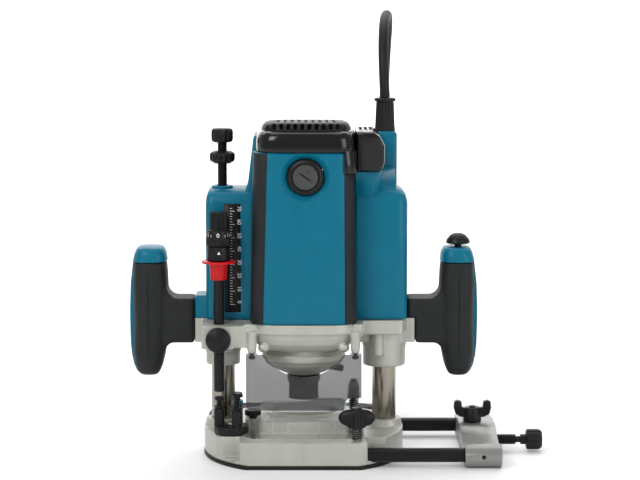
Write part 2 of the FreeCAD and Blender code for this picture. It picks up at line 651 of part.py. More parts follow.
def make_housing():
    seam = size.seam
    low = size.bracket_top + seam
    top = size.housing_top - seam
    half = size.housing_half
    depth = size.housing_depth
    casing = shell_box((-half, -depth, low), (half, depth, top), size.shell, 14)
    web = cut(box((-half + 1, -depth + 1, 247), (half - 1, depth - 1, 254)), cylinder(11.02, 30, (0, 0, 240)))
    web = common(web, rounded(box((-half, -depth, 247), (half, depth, 254)), 13.5, along("z")))
    casing = fuse(casing, web)
    caps = [cylinder(size.cap_radius + 0.3, 20, (size.brush_x, y, size.brush_z), "y") for y in (-60, 40)]
    node("motor_housing", cut(casing, *caps))
    tower_low = (size.left_tower_left, -size.tower_depth, low)
    tower_high = (size.left_tower_right, size.tower_depth, size.left_tower_top)
    tower = shell_box(tower_low, tower_high, size.shell, 9, True, False)
    hole = cylinder(size.height_rod_radius + 1, 40, (-size.column_spread, 0, 210))
    recess = box((size.scale_left - 0.2, -size.tower_depth - 6, size.scale_low - 1),
                 (size.scale_right + 0.5, -size.tower_depth + 1.2, size.scale_top + 0.9))
    shelf_low = size.bracket_top + size.shelf_rise
    shelf_top = shelf_low + size.shelf_height
    depth = size.tower_depth
    seat = cylinder(size.bush_bore_radius, size.shelf_height, (-size.column_spread, 0, shelf_low))
    shelf = box((size.left_tower_left, -depth, shelf_low), (size.left_tower_right - 2.6, depth, shelf_top))
    shelf_in = common(shelf, rounded(box(tower_low, tower_high), 8, along("z")))
    root = box((-92, -14, low), (size.left_tower_left + 2, 14, 137))
    tower = fuse(tower, shelf_in, root)
    node("left_tower", cut(tower, hole, recess, seat))
    right_low = (size.right_tower_left, -size.tower_depth, low)
    right_high = (size.right_tower_right, size.tower_depth, size.right_tower_top)
    right = shell_box(right_low, right_high, size.shell, 9, True, False)
    right_shelf = box((size.right_tower_left + 2.6, -depth, shelf_low), (size.right_tower_right, depth, shelf_top))
    right_shelf = common(right_shelf, rounded(box(right_low, right_high), 8, along("z")))
    right_seat = cylinder(size.bush_bore_radius, size.shelf_height, (size.column_spread, 0, shelf_low))
    entry_low = (size.entry_left, size.entry_front, size.right_tower_top - size.shell)
    entry_high = (size.entry_right, size.entry_back, size.entry_top)
    entry = shell_box(entry_low, entry_high, size.shell, 5, True, False)
    entry_hole = cylinder(5.2, 40, (size.guard_x, size.guard_y, 250))
    ramp = [(size.ramp_front, size.right_tower_top - 3), (size.ramp_back, size.right_tower_top - 3),
            (size.ramp_back, size.ramp_top), (size.ramp_front + 27, size.ramp_top),
            (size.ramp_front + 15, size.ramp_top - 3), (size.ramp_front + 6, size.ramp_top - 9),
            (size.ramp_front + 1, size.right_tower_top)]
    ramp = padded("ramp", "YZ_Plane", ramp, size.ramp_length, (size.right_tower_left, 0, 0))
    solid = fuse(right, ramp, cut(right_shelf, right_seat), cut(entry, entry_hole))
    node("right_tower", solid)


def make_scale():
    plate = box((size.scale_left, -size.tower_depth - 0.1, size.scale_low),
                (size.scale_right, -size.tower_depth + 1.1, size.scale_top))
    node("depth_scale", plate)


def make_covers():
    top = size.cover_top
    low = size.housing_top
    cover = shell_box((size.cover_left, -50, low), (size.cover_right, 50, top), Size(2.5), 8, True, False)
    starts = [VENT_START + VENT_PITCH * place_of for place_of in range(VENT_COUNT)]
    slots = [box((start, front, top - 12), (start + VENT_WIDTH, front + 12, top + 4))
             for start in starts for front in (-56, 44)]
    node("top_cover", cut(cover, *slots))
    side_low = (size.cover_right + 0.3, -36, size.side_cover_low)
    side_high = (size.side_cover_right, 20, size.side_cover_top)
    node("side_cover", shell_box(side_low, side_high, Size(2.5), 6, True, False))
    face = -size.housing_depth - 0.1
    strips = [box((-size.strip_outer, face - 1.4, size.strip_low), (-size.strip_inner, face, size.strip_top)),
              box((size.strip_inner, face - 1.4, size.strip_low), (size.strip_outer, face, size.side_cover_low))]
    node("rubber_strips", group(*strips))


def make_brushes():
    """The carbon brushes on both sides of the commutator, with their screw caps."""
    caps = []
    blocks = []
    for side in (-1, 1):
        start = size.housing_depth * side if side < 0 else size.housing_depth - 7
        caps.append(cylinder(size.cap_radius, 7, (size.brush_x, start, size.brush_z), "y"))
        near = -44 if side < 0 else 15.2
        blocks.append(box((-3.5, near, size.brush_z - 4), (5, near + 28.8, size.brush_z + 4)))
    node("brush_caps", group(*caps))
    node("carbon_brushes", group(*blocks))


# ---------------------------------------------------------------- handles

def make_handles():
    """The two grips with their end caps; the right one holds the trigger and lock button."""
    for name, side in (("left", -1), ("right", 1)):
        def mirrored(low, high):
            ends = sorted((as_size(low[0]) * side, as_size(high[0]) * side), key=lambda end: end.value)
            return box((ends[0], low[1], low[2]), (ends[1], high[1], high[2]))

        inner = size.grip_inner
        outer = size.grip_outer
        half = size.grip_half
        body = mirrored((inner, -half, size.grip_low), (outer, half, size.grip_top))
        body = rounded(body, 12, lambda edge: not along("z")(edge) and edge.BoundBox.ZMax < 68)
        body = rounded(body, 11, along("z"))
        start = -size.bracket_left if side < 0 else size.bracket_right
        neck = mirrored((start + 0.2, -size.neck_half, size.neck_low), (inner + 8, size.neck_half, size.neck_top))
        grip = fuse(body, neck)
        if side > 0:
            shoulder_low = (size.right_tower_right + size.seam, -size.neck_half, size.bracket_top + size.seam)
            shoulder = box(shoulder_low, (size.bracket_right + 1, size.neck_half, size.neck_top))
            grip = fuse(grip, shoulder)
            pocket = box((size.trigger_left - 1, size.trigger_front - 3, size.trigger_low - 1),
                         (size.trigger_right + 1, size.grip_half + 21, size.trigger_top + 1))
            bore = cylinder(size.button_bore, 40, (size.button_x, 0, 145))
            grip = cut(grip, pocket, bore)
        node(f"{name}_grip", grip)
        cap = mirrored((inner + 1, -half + 1, size.grip_top + 0.1), (outer - 3, half - 1, size.cap_top))
        cap = rounded(cap, 10, along("z"))
        if side > 0:
            cap = cut(cap, cylinder(size.button_bore, 40, (size.button_x, 0, 160)))
        node(f"{name}_grip_cap", cap)
    trigger = box((size.trigger_left, size.trigger_front, size.trigger_low),
                  (size.trigger_right, size.trigger_back, size.trigger_top))
    node("trigger", rounded(trigger, 4, along("x")))
    head = turned("button", [(0, 0), (3, 0), (3, 28), (10.2, 28.6), (9, 32.5), (5.5, 36), (0, 37.3)],
                  (size.button_x, 0, size.button_low))
    node("lock_button", head)


# ---------------------------------------------------------------- motor and spindle

def make_motor():
    spindle = [(0, 66), (size.spindle_radius - 1.5, 66), (size.spindle_radius, 72),
               (size.spindle_radius, 122), (6, 122), (6, 245), (4, 245),
               (4, size.spindle_top), (0, size.spindle_top)]
    shaft = turned("spindle", spindle)
    node("spindle_shaft", shaft)
    nut = cylinder(size.nut_radius, size.nut_top - size.nut_low - 0.3, (0, 0, size.nut_low))
    nut_bore = cone(size.shank_radius + 2.6, size.shank_radius + 2.6, 30, (0, 0, size.nut_low - 1))
    node("collet_nut", cut(nut, nut_bore))
    collet = cylinder(size.shank_radius + 2.4, 17.5, (0, 0, size.nut_low + 0.7))
    collet_bore = cylinder(size.shank_radius, 30, (0, 0, size.nut_low - 5))
    slit = box((-0.6, -20, size.nut_low - 1), (0.6, 20, size.nut_low + 12))
    node("collet", cut(collet, collet_bore, slit))
    bearings = []
    for low, height, outside, inside in (
            (size.bearing_low, size.bearing_height, size.bearing_radius, 8.02),
            (size.upper_bearing_low, size.upper_bearing_height, size.upper_bearing_radius, 4.02)):
        ring = cylinder(outside, height, (0, 0, low))
        bearings.append(cut(ring, cylinder(inside + 0.05, 30, (0, 0, low - 5))))
    node("spindle_bearings", group(*bearings))
    core = cylinder(size.core_radius, size.core_top - size.core_low, (0, 0, size.core_low))
    commutator = cylinder(size.commutator_radius, size.commutator_height, (0, 0, size.commutator_low))
    shaft_bore = cylinder(6.02, 200, (0, 0, 100))
    windings = [cylinder(17, 6, (0, 0, low)) for low in (139, 205)]
    neck = cylinder(9, 18, (0, 0, 210.5))
    node("armature", cut(fuse(core, *windings, neck, commutator), shaft_bore))
    stator = cylinder(size.stator_radius, 56, (0, 0, 147))
    node("stator", cut(stator, cylinder(size.core_radius + 0.8, 70, (0, 0, 140))))
    make_fan()


def make_fan():
    """The cooling fan: a disc with a ring of radial blades."""
    body = doc.addObject("PartDesign::Body", "fan_body")
    disc = body.newObject("PartDesign::Revolution", "Disc")
    rim = size.fan_radius
    thick = size.fan_thick
    hub = 11
    bore = 6.02
    profile = [(bore, 0), (rim, 0), (rim, thick), (hub, thick), (hub, 12), (bore, 12)]
    disc.Profile = outline(body, "XZ_Plane", profile)
    disc.ReferenceAxis = (disc.Profile[0], ["V_Axis"])
    blade = body.newObject("PartDesign::Pad", "Blade")
    top = size.blade_top
    blade.Profile = outline(body, "XZ_Plane", [(14, 1), (rim, 1), (rim, top), (14, top)], "BladeOutline")
    bind(blade, "Length", size.blade_thick)
    blade.Midplane = True
    pattern(body, blade, FAN_BLADES)
    place(body, (0, 0, size.fan_low))
    node("cooling_fan", body)


# ---------------------------------------------------------------- depth gauge

def make_depth_gauge():
    at = (size.rod_x, size.turret_y, 0)
    rod = cylinder(size.rod_radius, size.rod_top - size.rod_low, (size.rod_x, size.turret_y, size.rod_low))
    collar = cylinder(size.collar_radius, size.collar_top - size.collar_low,
                      (size.rod_x, size.turret_y, size.collar_low))
    node("depth_rod", rod)
    fit = size.rod_radius + size.fit_gap
    node("index_collar", cut(collar, cylinder(size.rod_radius + 0.02, 60, (at[0], at[1], 150))))
    cup = cylinder(size.pointer_cup_radius, size.pointer_top - size.pointer_low,
                   (at[0], at[1], size.pointer_low))
    flange = cylinder(size.pointer_flange_radius, size.pointer_top - size.pointer_flange_low,
                      (at[0], at[1], size.pointer_flange_low))
    flat = box((-110, at[1] + size.pointer_flat, 150), (-40, at[1] + 30, 175))
    node("depth_pointer", cut(fuse(cup, flange), flat, cylinder(fit, 60, (at[0], at[1], 130))))
    dial = [(fit, size.dial_low), (size.dial_radius, size.dial_low), (size.dial_radius, size.dial_top),
            (size.dial_grip_radius, size.dial_top), (size.dial_grip_radius, size.dial_grip_top),
            (0, size.dial_grip_top), (0, size.rod_top + 0.3), (fit, size.rod_top + 0.3)]
    node("depth_dial", turned("dial", dial, at))


# ---------------------------------------------------------------- cord

CORD_ROUTE = [
    (69.7, 40, 300.4), (67.6, 41, 334), (69.5, 69.5, 369), (75.5, 115, 369.5), (74, 148, 331),
    (72.5, 160, 271), (73, 167, 211), (74, 171.5, 151), (74.8, 173.5, 92.5), (74.5, 172.5, 34),
    (77.5, 144.5, 4.25), (80, 106, 4.25),
]


def rounded_path(points):
    """Straight runs joined by tangent arcs, each as large as its two runs allow."""
    points = [FreeCAD.Vector(*point) for point in points]
    edges = []
    radii = []
    start = points[0]
    for before, corner, after in zip(points, points[1:], points[2:]):
        back = (before - corner).normalize()
        ahead = (after - corner).normalize()
        half_turn = (math.pi - back.getAngle(ahead)) / 2
        reach = 0.45 * min(before.distanceToPoint(corner), corner.distanceToPoint(after))
        radii.append(reach / math.tan(half_turn))
        first = corner + back * reach
        last = corner + ahead * reach
        depth = radii[-1] / math.cos(half_turn) - radii[-1]
        middle = corner + (back + ahead).normalize() * depth
        edges.append(Part.LineSegment(start, first).toShape())
        edges.append(Part.Arc(first, middle, last).toShape())
        start = last
    edges.append(Part.LineSegment(start, points[-1]).toShape())
    return Part.Wire(edges), radii


def make_cord():
    path, radii = rounded_path(CORD_ROUTE)
    radius = size.cord_radius.value
    start = FreeCAD.Vector(*CORD_ROUTE[0])
    direction = (FreeCAD.Vector(*CORD_ROUTE[1]) - start).normalize()
    section = Part.Wire(Part.makeCircle(radius, start, direction))
    tube = doc.addObject("Part::Feature", "Tube")
    tube.Shape = path.makePipeShell([section], True, False)
    node("cord_tube", tube)
    expected = math.pi * radius ** 2 * path.Length
    print("cord bend radii", [round(each, 1) for each in radii])
    print("cord tube length", round(path.Length, 1), "volume", round(tube.Shape.Volume),
          "expected", round(expected))
    coil = cut(stadium(size.coil_outer), stadium(size.coil_inner))
    node("cord_coil", coil)
    start = size.plug_x
    end = start + size.plug_long
    y = size.plug_y
    z = size.plug_axis_z
    body = box((start, y - size.plug_half, 0), (end, y + size.plug_half, z * 2))
    tail = cone(4.5, 7.5, 12, (start - 12, y, z), "x")
    pins = [box((end, y + side - 0.8, z - 3.2), (end + 17, y + side + 0.8, z + 3.2)) for side in (-6.3, 6.3)]
    node("plug", fuse(rounded(body, 5, along("z")), tail, *pins))


def stadium(radius):
    """An upright solid on the floor, as long as the coil's runs, with round ends."""
    x = size.coil_x
    y = size.coil_y
    run = size.coil_run
    height = size.coil_height
    middle = box((x - run, y - radius, 0), (x + run, y + radius, height))
    ends = [cylinder(radius, height, (x + side * run, y, 0)) for side in (-1, 1)]
    return fuse(middle, *ends)


def make_guard():
    """The ribbed sleeve that protects the cord where it leaves the housing."""
    x = size.guard_x
    y = size.guard_y
    top = size.guard_top
    low = size.entry_top + 0.2
    sleeve = cone(8.8, 7.4, top - low - 2, (x, y, low))
    rim = cylinder(9, 2.4, (x, y, top - 2.4))
    node("cord_guard", fuse(sleeve, rim))


def make_everything():
    make_sole()
    make_base_casting()
    make_columns()
    make_return_spring()
    make_shroud()
    make_bar_clamps()
    make_turret()
    make_height_stop()
    make_guide_set()
    make_bracket()
    make_shaft_lock()
    make_bushes()
    make_shield()
    make_rod_clamp()
    make_plunge_lock()
    make_housing()
    make_scale()
    make_covers()
    make_brushes()
    make_handles()
    make_motor()
    make_depth_gauge()
    make_cord()
    make_guard()


def check_and_export():
    doc.recompute()
    for thing in doc.Objects:
        if "Invalid" in thing.State or "Error" in thing.State:
            raise RuntimeError(f"{thing.Label} failed: {thing.State}")
    for name, thing in nodes.items():
        shape = thing.Shape
        if shape.isNull() or not shape.isValid() or not shape.Solids:
            raise RuntimeError(f"{name} has no valid solid")
    os.makedirs("parts", exist_ok=True)
    for name, thing in nodes.items():
        thing.Shape.exportStep(f"parts/{name}.step")
    print(len(nodes), "sub-parts written")


make_everything()
check_and_export()
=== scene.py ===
import json
import math

import bmesh
import bpy
from mathutils import Matrix, Vector


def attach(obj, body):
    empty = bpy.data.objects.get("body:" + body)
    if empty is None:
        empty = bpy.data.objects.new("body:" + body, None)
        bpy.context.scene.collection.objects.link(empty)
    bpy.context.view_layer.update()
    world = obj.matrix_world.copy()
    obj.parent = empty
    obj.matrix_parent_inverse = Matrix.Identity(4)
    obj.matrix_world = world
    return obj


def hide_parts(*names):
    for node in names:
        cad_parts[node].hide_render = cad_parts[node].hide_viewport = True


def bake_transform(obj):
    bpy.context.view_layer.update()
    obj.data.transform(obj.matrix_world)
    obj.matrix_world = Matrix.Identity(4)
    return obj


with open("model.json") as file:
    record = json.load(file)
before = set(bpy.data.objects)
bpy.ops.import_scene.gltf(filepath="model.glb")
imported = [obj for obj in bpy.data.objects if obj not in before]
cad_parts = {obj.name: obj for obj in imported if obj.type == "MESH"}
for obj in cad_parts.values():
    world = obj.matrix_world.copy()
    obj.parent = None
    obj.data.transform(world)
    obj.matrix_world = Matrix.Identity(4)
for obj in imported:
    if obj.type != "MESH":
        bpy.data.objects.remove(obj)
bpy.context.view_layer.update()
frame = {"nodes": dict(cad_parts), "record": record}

# A plunge router. Shapes are worked out in millimetres and scaled to metres as a piece is made.

MM = 0.001
FULL_TURN = 2 * math.pi
EIGHTH = math.pi / 4
COLUMN_X = 68.5
BAR_Y = 59
BAR_Z = 10.3
CLAMP_X = 44
SHIELD_SCREW_X = 43
BRUSH_AT = (1.4, 0, 241)
CORD_AT = (69.7, 40)
ROD_AT = (-70.7, -36, 0)
ROD_CLAMP_AT = (-70.7, 0, 106)
TURRET_AT = (-60.7, -36)
LOCK_LEVER_AT = (-COLUMN_X, 0, 100)
BUTTON_X = 130.5
WING_NUT_AT = (145.5, 18, 0)
THUMB_AT = (-43, -18, 0)
Z_TO = {
    "z": Matrix.Identity(4),
    "y": Matrix.Rotation(-math.pi / 2, 4, "X"),
    "x": Matrix.Rotation(math.pi / 2, 4, "Y"),
}

# ---------------------------------------------------------------- camera

CAMERA_AT = (0, -1841, 430)
CAMERA_PITCH = 7.66
CAMERA_LENS = 123.5
CAMERA_SHIFT = 0.0255


def make_camera():
    """The camera in front of the router, looking down a little."""
    camera = bpy.data.objects.new("Camera", bpy.data.cameras.new("Camera"))
    camera.data.lens = CAMERA_LENS
    camera.data.sensor_width = 36
    camera.data.shift_x = CAMERA_SHIFT
    camera.location = Vector(CAMERA_AT) * MM
    camera.rotation_euler = (math.radians(90 - CAMERA_PITCH), 0, 0)
    bpy.context.scene.collection.objects.link(camera)
    bpy.context.scene.camera = camera


make_camera()

# ---------------------------------------------------------------- materials


def surface(name, colour, roughness, metallic=0.0, mottle=0.06, grain=900.0, relief=0.04, wear=0.08,
            coat=0.0, stretch=(1, 1, 1), cloud=60.0, shine=0.25):
    """A procedural finish: clouded colour, uneven gloss and a fine raised grain."""
    material = bpy.data.materials.new(name)
    material.use_nodes = True
    tree = material.node_tree
    shader = tree.nodes["Principled BSDF"]
    shader.inputs["Metallic"].default_value = metallic
    shader.inputs["Coat Weight"].default_value = coat
    shader.inputs["Specular IOR Level"].default_value = shine
    shader.inputs["Coat Roughness"].default_value = 0.12
    place = tree.nodes.new("ShaderNodeTexCoord")
    mapping = tree.nodes.new("ShaderNodeMapping")
    mapping.inputs["Scale"].default_value = stretch
    tree.links.new(place.outputs["Object"], mapping.inputs["Vector"])

    def noise(scale, detail):
        made = tree.nodes.new("ShaderNodeTexNoise")
        made.inputs["Scale"].default_value = scale
        made.inputs["Detail"].default_value = detail
        tree.links.new(mapping.outputs["Vector"], made.inputs["Vector"])
        return made.outputs["Fac"]

    ramp = tree.nodes.new("ShaderNodeValToRGB")
    ramp.color_ramp.elements[0].position = 0.3
    ramp.color_ramp.elements[1].position = 0.7
    for element, factor in zip(ramp.color_ramp.elements, (1 - mottle, 1 + mottle)):
        element.color = (*[min(1, part * factor) for part in colour], 1)
    tree.links.new(noise(cloud, 4), ramp.inputs["Fac"])
    tree.links.new(ramp.outputs["Color"], shader.inputs["Base Color"])
    gloss = tree.nodes.new("ShaderNodeMapRange")
    gloss.inputs["To Min"].default_value = max(0.02, roughness - wear)
    gloss.inputs["To Max"].default_value = min(1, roughness + wear)
    tree.links.new(noise(cloud * 3, 5), gloss.inputs["Value"])
    tree.links.new(gloss.outputs["Result"], shader.inputs["Roughness"])
    bump = tree.nodes.new("ShaderNodeBump")
    bump.inputs["Strength"].default_value = relief
    bump.inputs["Distance"].default_value = 0.0003
    tree.links.new(noise(grain, 3), bump.inputs["Height"])
    tree.links.new(bump.outputs["Normal"], shader.inputs["Normal"])
    return material


def see_through(name, colour, roughness, transmission, alpha=1.0):
    """A moulded clear or tinted plastic."""
    material = surface(name, colour, roughness, mottle=0.02, grain=300, relief=0.01, wear=0.02)
    shader = material.node_tree.nodes["Principled BSDF"]
    shader.inputs["Transmission Weight"].default_value = transmission
    shader.inputs["Alpha"].default_value = alpha
    shader.inputs["IOR"].default_value = 1.46
    return material


LOOKS = {
    "teal_plastic": surface("TealPlastic", (0.0005, 0.132, 0.212), 0.36, mottle=0.05, grain=1500, relief=0.03,
                            shine=0.2),
    "black_rubber": surface("BlackRubber", (0.012, 0.0135, 0.0145), 0.58, mottle=0.14, grain=1800,
                            relief=0.12),
    "gloss_black": surface("GlossBlack", (0.003, 0.003, 0.0035), 0.16, mottle=0.1, relief=0.006, wear=0.04,
                           coat=0.25),
    "black_plastic": surface("BlackPlastic", (0.0055, 0.0055, 0.006), 0.42, mottle=0.15, grain=1400,
                             relief=0.1),
    "black_phenolic": surface("BlackPhenolic", (0.008, 0.008, 0.008), 0.5, mottle=0.1, relief=0.03),
    "cast_aluminium": surface("CastAluminium", (0.45, 0.455, 0.41), 0.44, metallic=0.35, mottle=0.06,
                              grain=900, relief=0.12),
    "brushed_aluminium": surface("BrushedAluminium", (0.27, 0.27, 0.26), 0.38, metallic=0.7, mottle=0.08,
                                 grain=700, relief=0.14, stretch=(0.04, 1, 1)),
    # Chrome: its colour mottle is drawn out along the columns into dark streaks, which are painted reflection
    # bands.
    "chrome_steel": surface("ChromeSteelPaintedStreaks", (0.3, 0.275, 0.23), 0.24, metallic=1.0, mottle=0.08, grain=900,
                            relief=0.03, stretch=(1, 1, 0.02), wear=0.05, cloud=120),
    "black_steel": surface("BlackSteel", (0.009, 0.0095, 0.01), 0.36, metallic=0.3, mottle=0.2, grain=1200,
                           relief=0.06),
    "bright_steel": surface("BrightSteel", (0.36, 0.36, 0.35), 0.3, metallic=1.0, mottle=0.08, relief=0.05),
    "core_steel": surface("CoreSteel", (0.2, 0.2, 0.21), 0.45, metallic=0.8, stretch=(0.05, 0.05, 1)),
    "bronze": surface("Bronze", (0.42, 0.28, 0.13), 0.4, metallic=1.0, mottle=0.1),
    "carbon": surface("Carbon", (0.03, 0.03, 0.03), 0.6, mottle=0.2),
    "clear_plastic": see_through("ClearPlastic", (0.78, 0.8, 0.74), 0.12, 0.0, 0.26),
    "smoke_plastic": see_through("SmokePlastic", (0.05, 0.053, 0.056), 0.2, 0.0, 0.57),
    "red_plastic": surface("RedPlastic", (0.52, 0.006, 0.008), 0.34, mottle=0.05, relief=0.02),
    "cord_rubber": surface("CordRubber", (0.007, 0.007, 0.008), 0.48, mottle=0.1, grain=1500, relief=0.08),
}
WHITE_INK = surface("WhiteInk", (0.8, 0.8, 0.78), 0.5, mottle=0.05, relief=0.02)
FLOOR_LOOK = surface("PaleFloor", (0.86, 0.86, 0.86), 0.6, mottle=0.01, grain=200, relief=0.01)
NODE_SLOT = {entry["node"]: entry["material_slot"] for entry in frame["record"]["subparts"]}

# ---------------------------------------------------------------- mesh helpers


def superellipse(half_x, half_y, power, steps=96, centre=(0, 0)):
    """An outline between an ellipse (power 2) and a rectangle (high power)."""
    ring = []
    for step in range(steps):
        angle = FULL_TURN * step / steps
        c, s = math.cos(angle), math.sin(angle)
        reach = (abs(c) ** power + abs(s) ** power) ** (-1 / power)
        ring.append((centre[0] + half_x * c * reach, centre[1] + half_y * s * reach))
    return ring


def rectangle(low, high, radius, steps=6):
    """A rectangle with round corners, counter-clockwise; radius is one number or four."""
    radii = radius if isinstance(radius, (tuple, list)) else (radius,) * 4
    corners = [(high[0], low[1]), (high[0], high[1]), (low[0], high[1]), (low[0], low[1])]
    signs = [(-1, 1), (-1, -1), (1, -1), (1, 1)]
    ring = []
    for place, (corner, sign, round_by) in enumerate(zip(corners, signs, radii)):
        centre = (corner[0] + sign[0] * round_by, corner[1] + sign[1] * round_by)
        start = -math.pi / 2 + place * math.pi / 2
        for step in range(steps + 1):
            angle = start + math.pi / 2 * step / max(steps, 1)
            ring.append((centre[0] + round_by * math.cos(angle), centre[1] + round_by * math.sin(angle)))
    return ring


def skin(mesh, rings, ends=True):
    """Joins rings of points, all of one length, into a closed skin."""
    rows = [[mesh.verts.new(point) for point in ring] for ring in rings]
    count = len(rows[0])
    for low, high in zip(rows, rows[1:]):
        for place in range(count):
            after = (place + 1) % count
            mesh.faces.new((low[place], low[after], high[after], high[place]))
    if ends:
        mesh.faces.new(list(reversed(rows[0])))
        mesh.faces.new(rows[-1])
    return mesh


def loft(sections, mesh=None):
    """A skin over (height, outline) sections."""
    mesh = mesh or bmesh.new()
    return skin(mesh, [[(x, y, height) for x, y in ring] for height, ring in sections])


def lathe(profile, at=(0, 0, 0), axis="z", steps=64, ribs=0, depth=0.0, mesh=None, bored=False):
    """Turns (radius, height) points about an axis. A third value of 1 gives a point its share of ribs.

    A bored piece has a hole through it: its last ring is joined to its first.
    """
    mesh = mesh or bmesh.new()
    turn = Matrix.Translation(Vector(at)) @ Z_TO[axis]
    rings = []
    for entry in profile:
        radius, height = entry[0], entry[1]
        share = entry[2] if len(entry) > 2 else 0
        ring = []
        for step in range(steps):
            angle = FULL_TURN * step / steps
            wave = 0.5 + 0.5 * math.cos(ribs * angle)
            reach = radius - share * depth * wave ** 2
            ring.append(turn @ Vector((reach * math.cos(angle), reach * math.sin(angle), height)))
        rings.append(ring)
    if not bored:
        return skin(mesh, rings)
    skin(mesh, [*rings, rings[0]], ends=False)
    bmesh.ops.remove_doubles(mesh, verts=mesh.verts, dist=0.0001)
    return mesh


def cylinder(radius, low, high, at=(0, 0, 0), axis="z", steps=64):
    """A plain cylinder from low to high along an axis, also used as a drill."""
    return lathe([(radius, low), (radius, high)], at, axis, steps)


def block(low, high, mesh=None):
    """A plain box between two corners."""
    mesh = mesh or bmesh.new()
    return loft([(low[2], rectangle(low, high, 0, 0)), (high[2], rectangle(low, high, 0, 0))], mesh)


def slab(low, high, radius, mesh=None, edge=0.0):
    """An upright block with round corners, and its ends eased by edge."""
    mesh = mesh or bmesh.new()

    def ring(inset):
        return rectangle((low[0] + inset, low[1] + inset), (high[0] - inset, high[1] - inset),
                         max(radius - inset, 0.05))

    if not edge:
        return loft([(low[2], ring(0)), (high[2], ring(0))], mesh)
    return loft([(low[2], ring(edge)), (low[2] + edge, ring(0)),
                 (high[2] - edge, ring(0)), (high[2], ring(edge))], mesh)


def prism(points, low, high, axis="y", mesh=None):
    """Points (across, up) drawn out along an axis. For y they are (x, z); for x they are (y, z)."""
    mesh = mesh or bmesh.new()
    if axis == "y":
        rings = [[(x, depth, z) for x, z in points] for depth in (low, high)]
    else:
        rings = [[(depth, y, z) for y, z in points] for depth in (low, high)]
    return skin(mesh, rings)


def object_of(name, mesh):
    """Makes a Blender object, in metres, from a mesh in millimetres."""
    bmesh.ops.recalc_face_normals(mesh, faces=mesh.faces)
    data = bpy.data.meshes.new(name)
    mesh.to_mesh(data)
    mesh.free()
    data.transform(Matrix.Scale(MM, 4))
    made = bpy.data.objects.new(name, data)
    bpy.context.scene.collection.objects.link(made)
    return made


def apply_all(made):
    """Fixes an object's modifiers into its mesh."""
    bpy.context.view_layer.update()
    graph = bpy.context.evaluated_depsgraph_get()
    data = bpy.data.meshes.new_from_object(made.evaluated_get(graph))
    old = made.data
    made.modifiers.clear()
    made.data = data
    bpy.data.meshes.remove(old)
    return made


def combine(made, others, operation):
    """Joins meshes to an object, or takes them away from it."""
    for place, other in enumerate(others):
        tool = object_of(f"{made.name}_tool{place}", other)
        step = made.modifiers.new("Combine", "BOOLEAN")
        step.operation = operation
        step.solver = "EXACT"
        step.object = tool
        apply_all(made)
        bpy.data.objects.remove(tool)
    return made


def cast(made, voxel, passes):
    """Gives an object the soft edges of a casting or a moulding."""
    remesh = made.modifiers.new("Remesh", "REMESH")
    remesh.mode = "VOXEL"
    remesh.voxel_size = voxel * MM
    smooth = made.modifiers.new("Smooth", "SMOOTH")
    smooth.factor = 0.5
    smooth.iterations = passes
    return apply_all(made)


def finish(made, body, slot, nodes=(), bevel=0.0, sharp=35, look=None):
    """Shades a piece, gives it its finish and lets it ride with a body in place of CAD nodes."""
    if bevel:
        step = made.modifiers.new("Bevel", "BEVEL")
        step.width = bevel * MM
        step.segments = 2
        step.limit_method = "ANGLE"
        step.angle_limit = math.radians(sharp)
        step.harden_normals = True
        made.data.shade_smooth()
        made.data.set_sharp_from_angle(angle=math.radians(60))
        apply_all(made)
    made.data.shade_smooth()
    made.data.set_sharp_from_angle(angle=math.radians(sharp))
    made.data.materials.clear()
    made.data.materials.append(look or LOOKS[slot])
    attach(made, body)
    if nodes:
        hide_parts(*nodes)
    return made


def piece(name, mesh, body, slot, nodes=(), bevel=0.0, sharp=35, look=None):
    """A mesh made into a finished object that stands for CAD nodes."""
    return finish(object_of(name, mesh), body, slot, nodes, bevel, sharp, look)


# ---------------------------------------------------------------- cord

CORD_DIAMETER = 8.5
CORD_ROUTE = [
    (69.7, 40, 300.4), (67.6, 41, 334), (69.5, 69.5, 369), (75.5, 115, 369.5), (74, 148, 331),
    (72.5, 160, 271), (73, 167, 211), (74, 171.5, 151), (74.8, 173.5, 92.5), (74.5, 172.5, 34),
    (77.5, 144.5, 4.25), (80, 106, 4.25),
]
FLOOR_LEVEL = CORD_DIAMETER / 2
SECOND_LEVEL = 11.6
# Each lap of the coil: its near side's y and height, its left end's x, its far side's y, its right end's x.
LAPS = (
    (93.0, FLOOR_LEVEL, -82.5, 160.0, 72.5),
    (101.5, FLOOR_LEVEL, -74.5, 151.5, 64.0),
    (97.25, SECOND_LEVEL, -66.0, 141.0, None),
)
PLUG_TAIL = (-8, 126, 9)


def end_turn(side, reach, near, far, heights):
    """Four control points that take the cord round one end of the coil."""
    radius = (far - near) / 2
    centre = (reach - side * radius, (near + far) / 2)
    corner = radius / math.cos(EIGHTH / 2)
    first = -math.pi / 2 - EIGHTH / 2 if side < 0 else math.pi / 2 - EIGHTH / 2
    points = []
    for place, height in enumerate(heights):
        angle = first - place * EIGHTH
        points.append((centre[0] + corner * math.cos(angle), centre[1] + corner * math.sin(angle), height))
    return points


def coil_points():
    """The laps of the coil, from its right end towards the front, and in to the plug."""
    points = [(68.5, LAPS[0][0], FLOOR_LEVEL)]
    for place, (near, level, left, far, right) in enumerate(LAPS):
        points += [(x, near, level) for x in (30, 0, -28)]
        raised = level > FLOOR_LEVEL
        heights = (12.8, 11.5, 7.0, 5.0) if raised else (FLOOR_LEVEL,) * 4
        points += end_turn(-1, left, near, far, heights)
        if right is None:
            points += [(-36, far - 0.5, 5.2), (-24, 129, 7.6), PLUG_TAIL]
            continue
        points += [(x, far, FLOOR_LEVEL) for x in (-28, 0, 24)]
        climbs = LAPS[place + 1][1] > FLOOR_LEVEL
        heights = (5.0, 8.5, 12.6, 13.0) if climbs else (FLOOR_LEVEL,) * 4
        points += end_turn(1, right, LAPS[place + 1][0], far, heights)
    return points


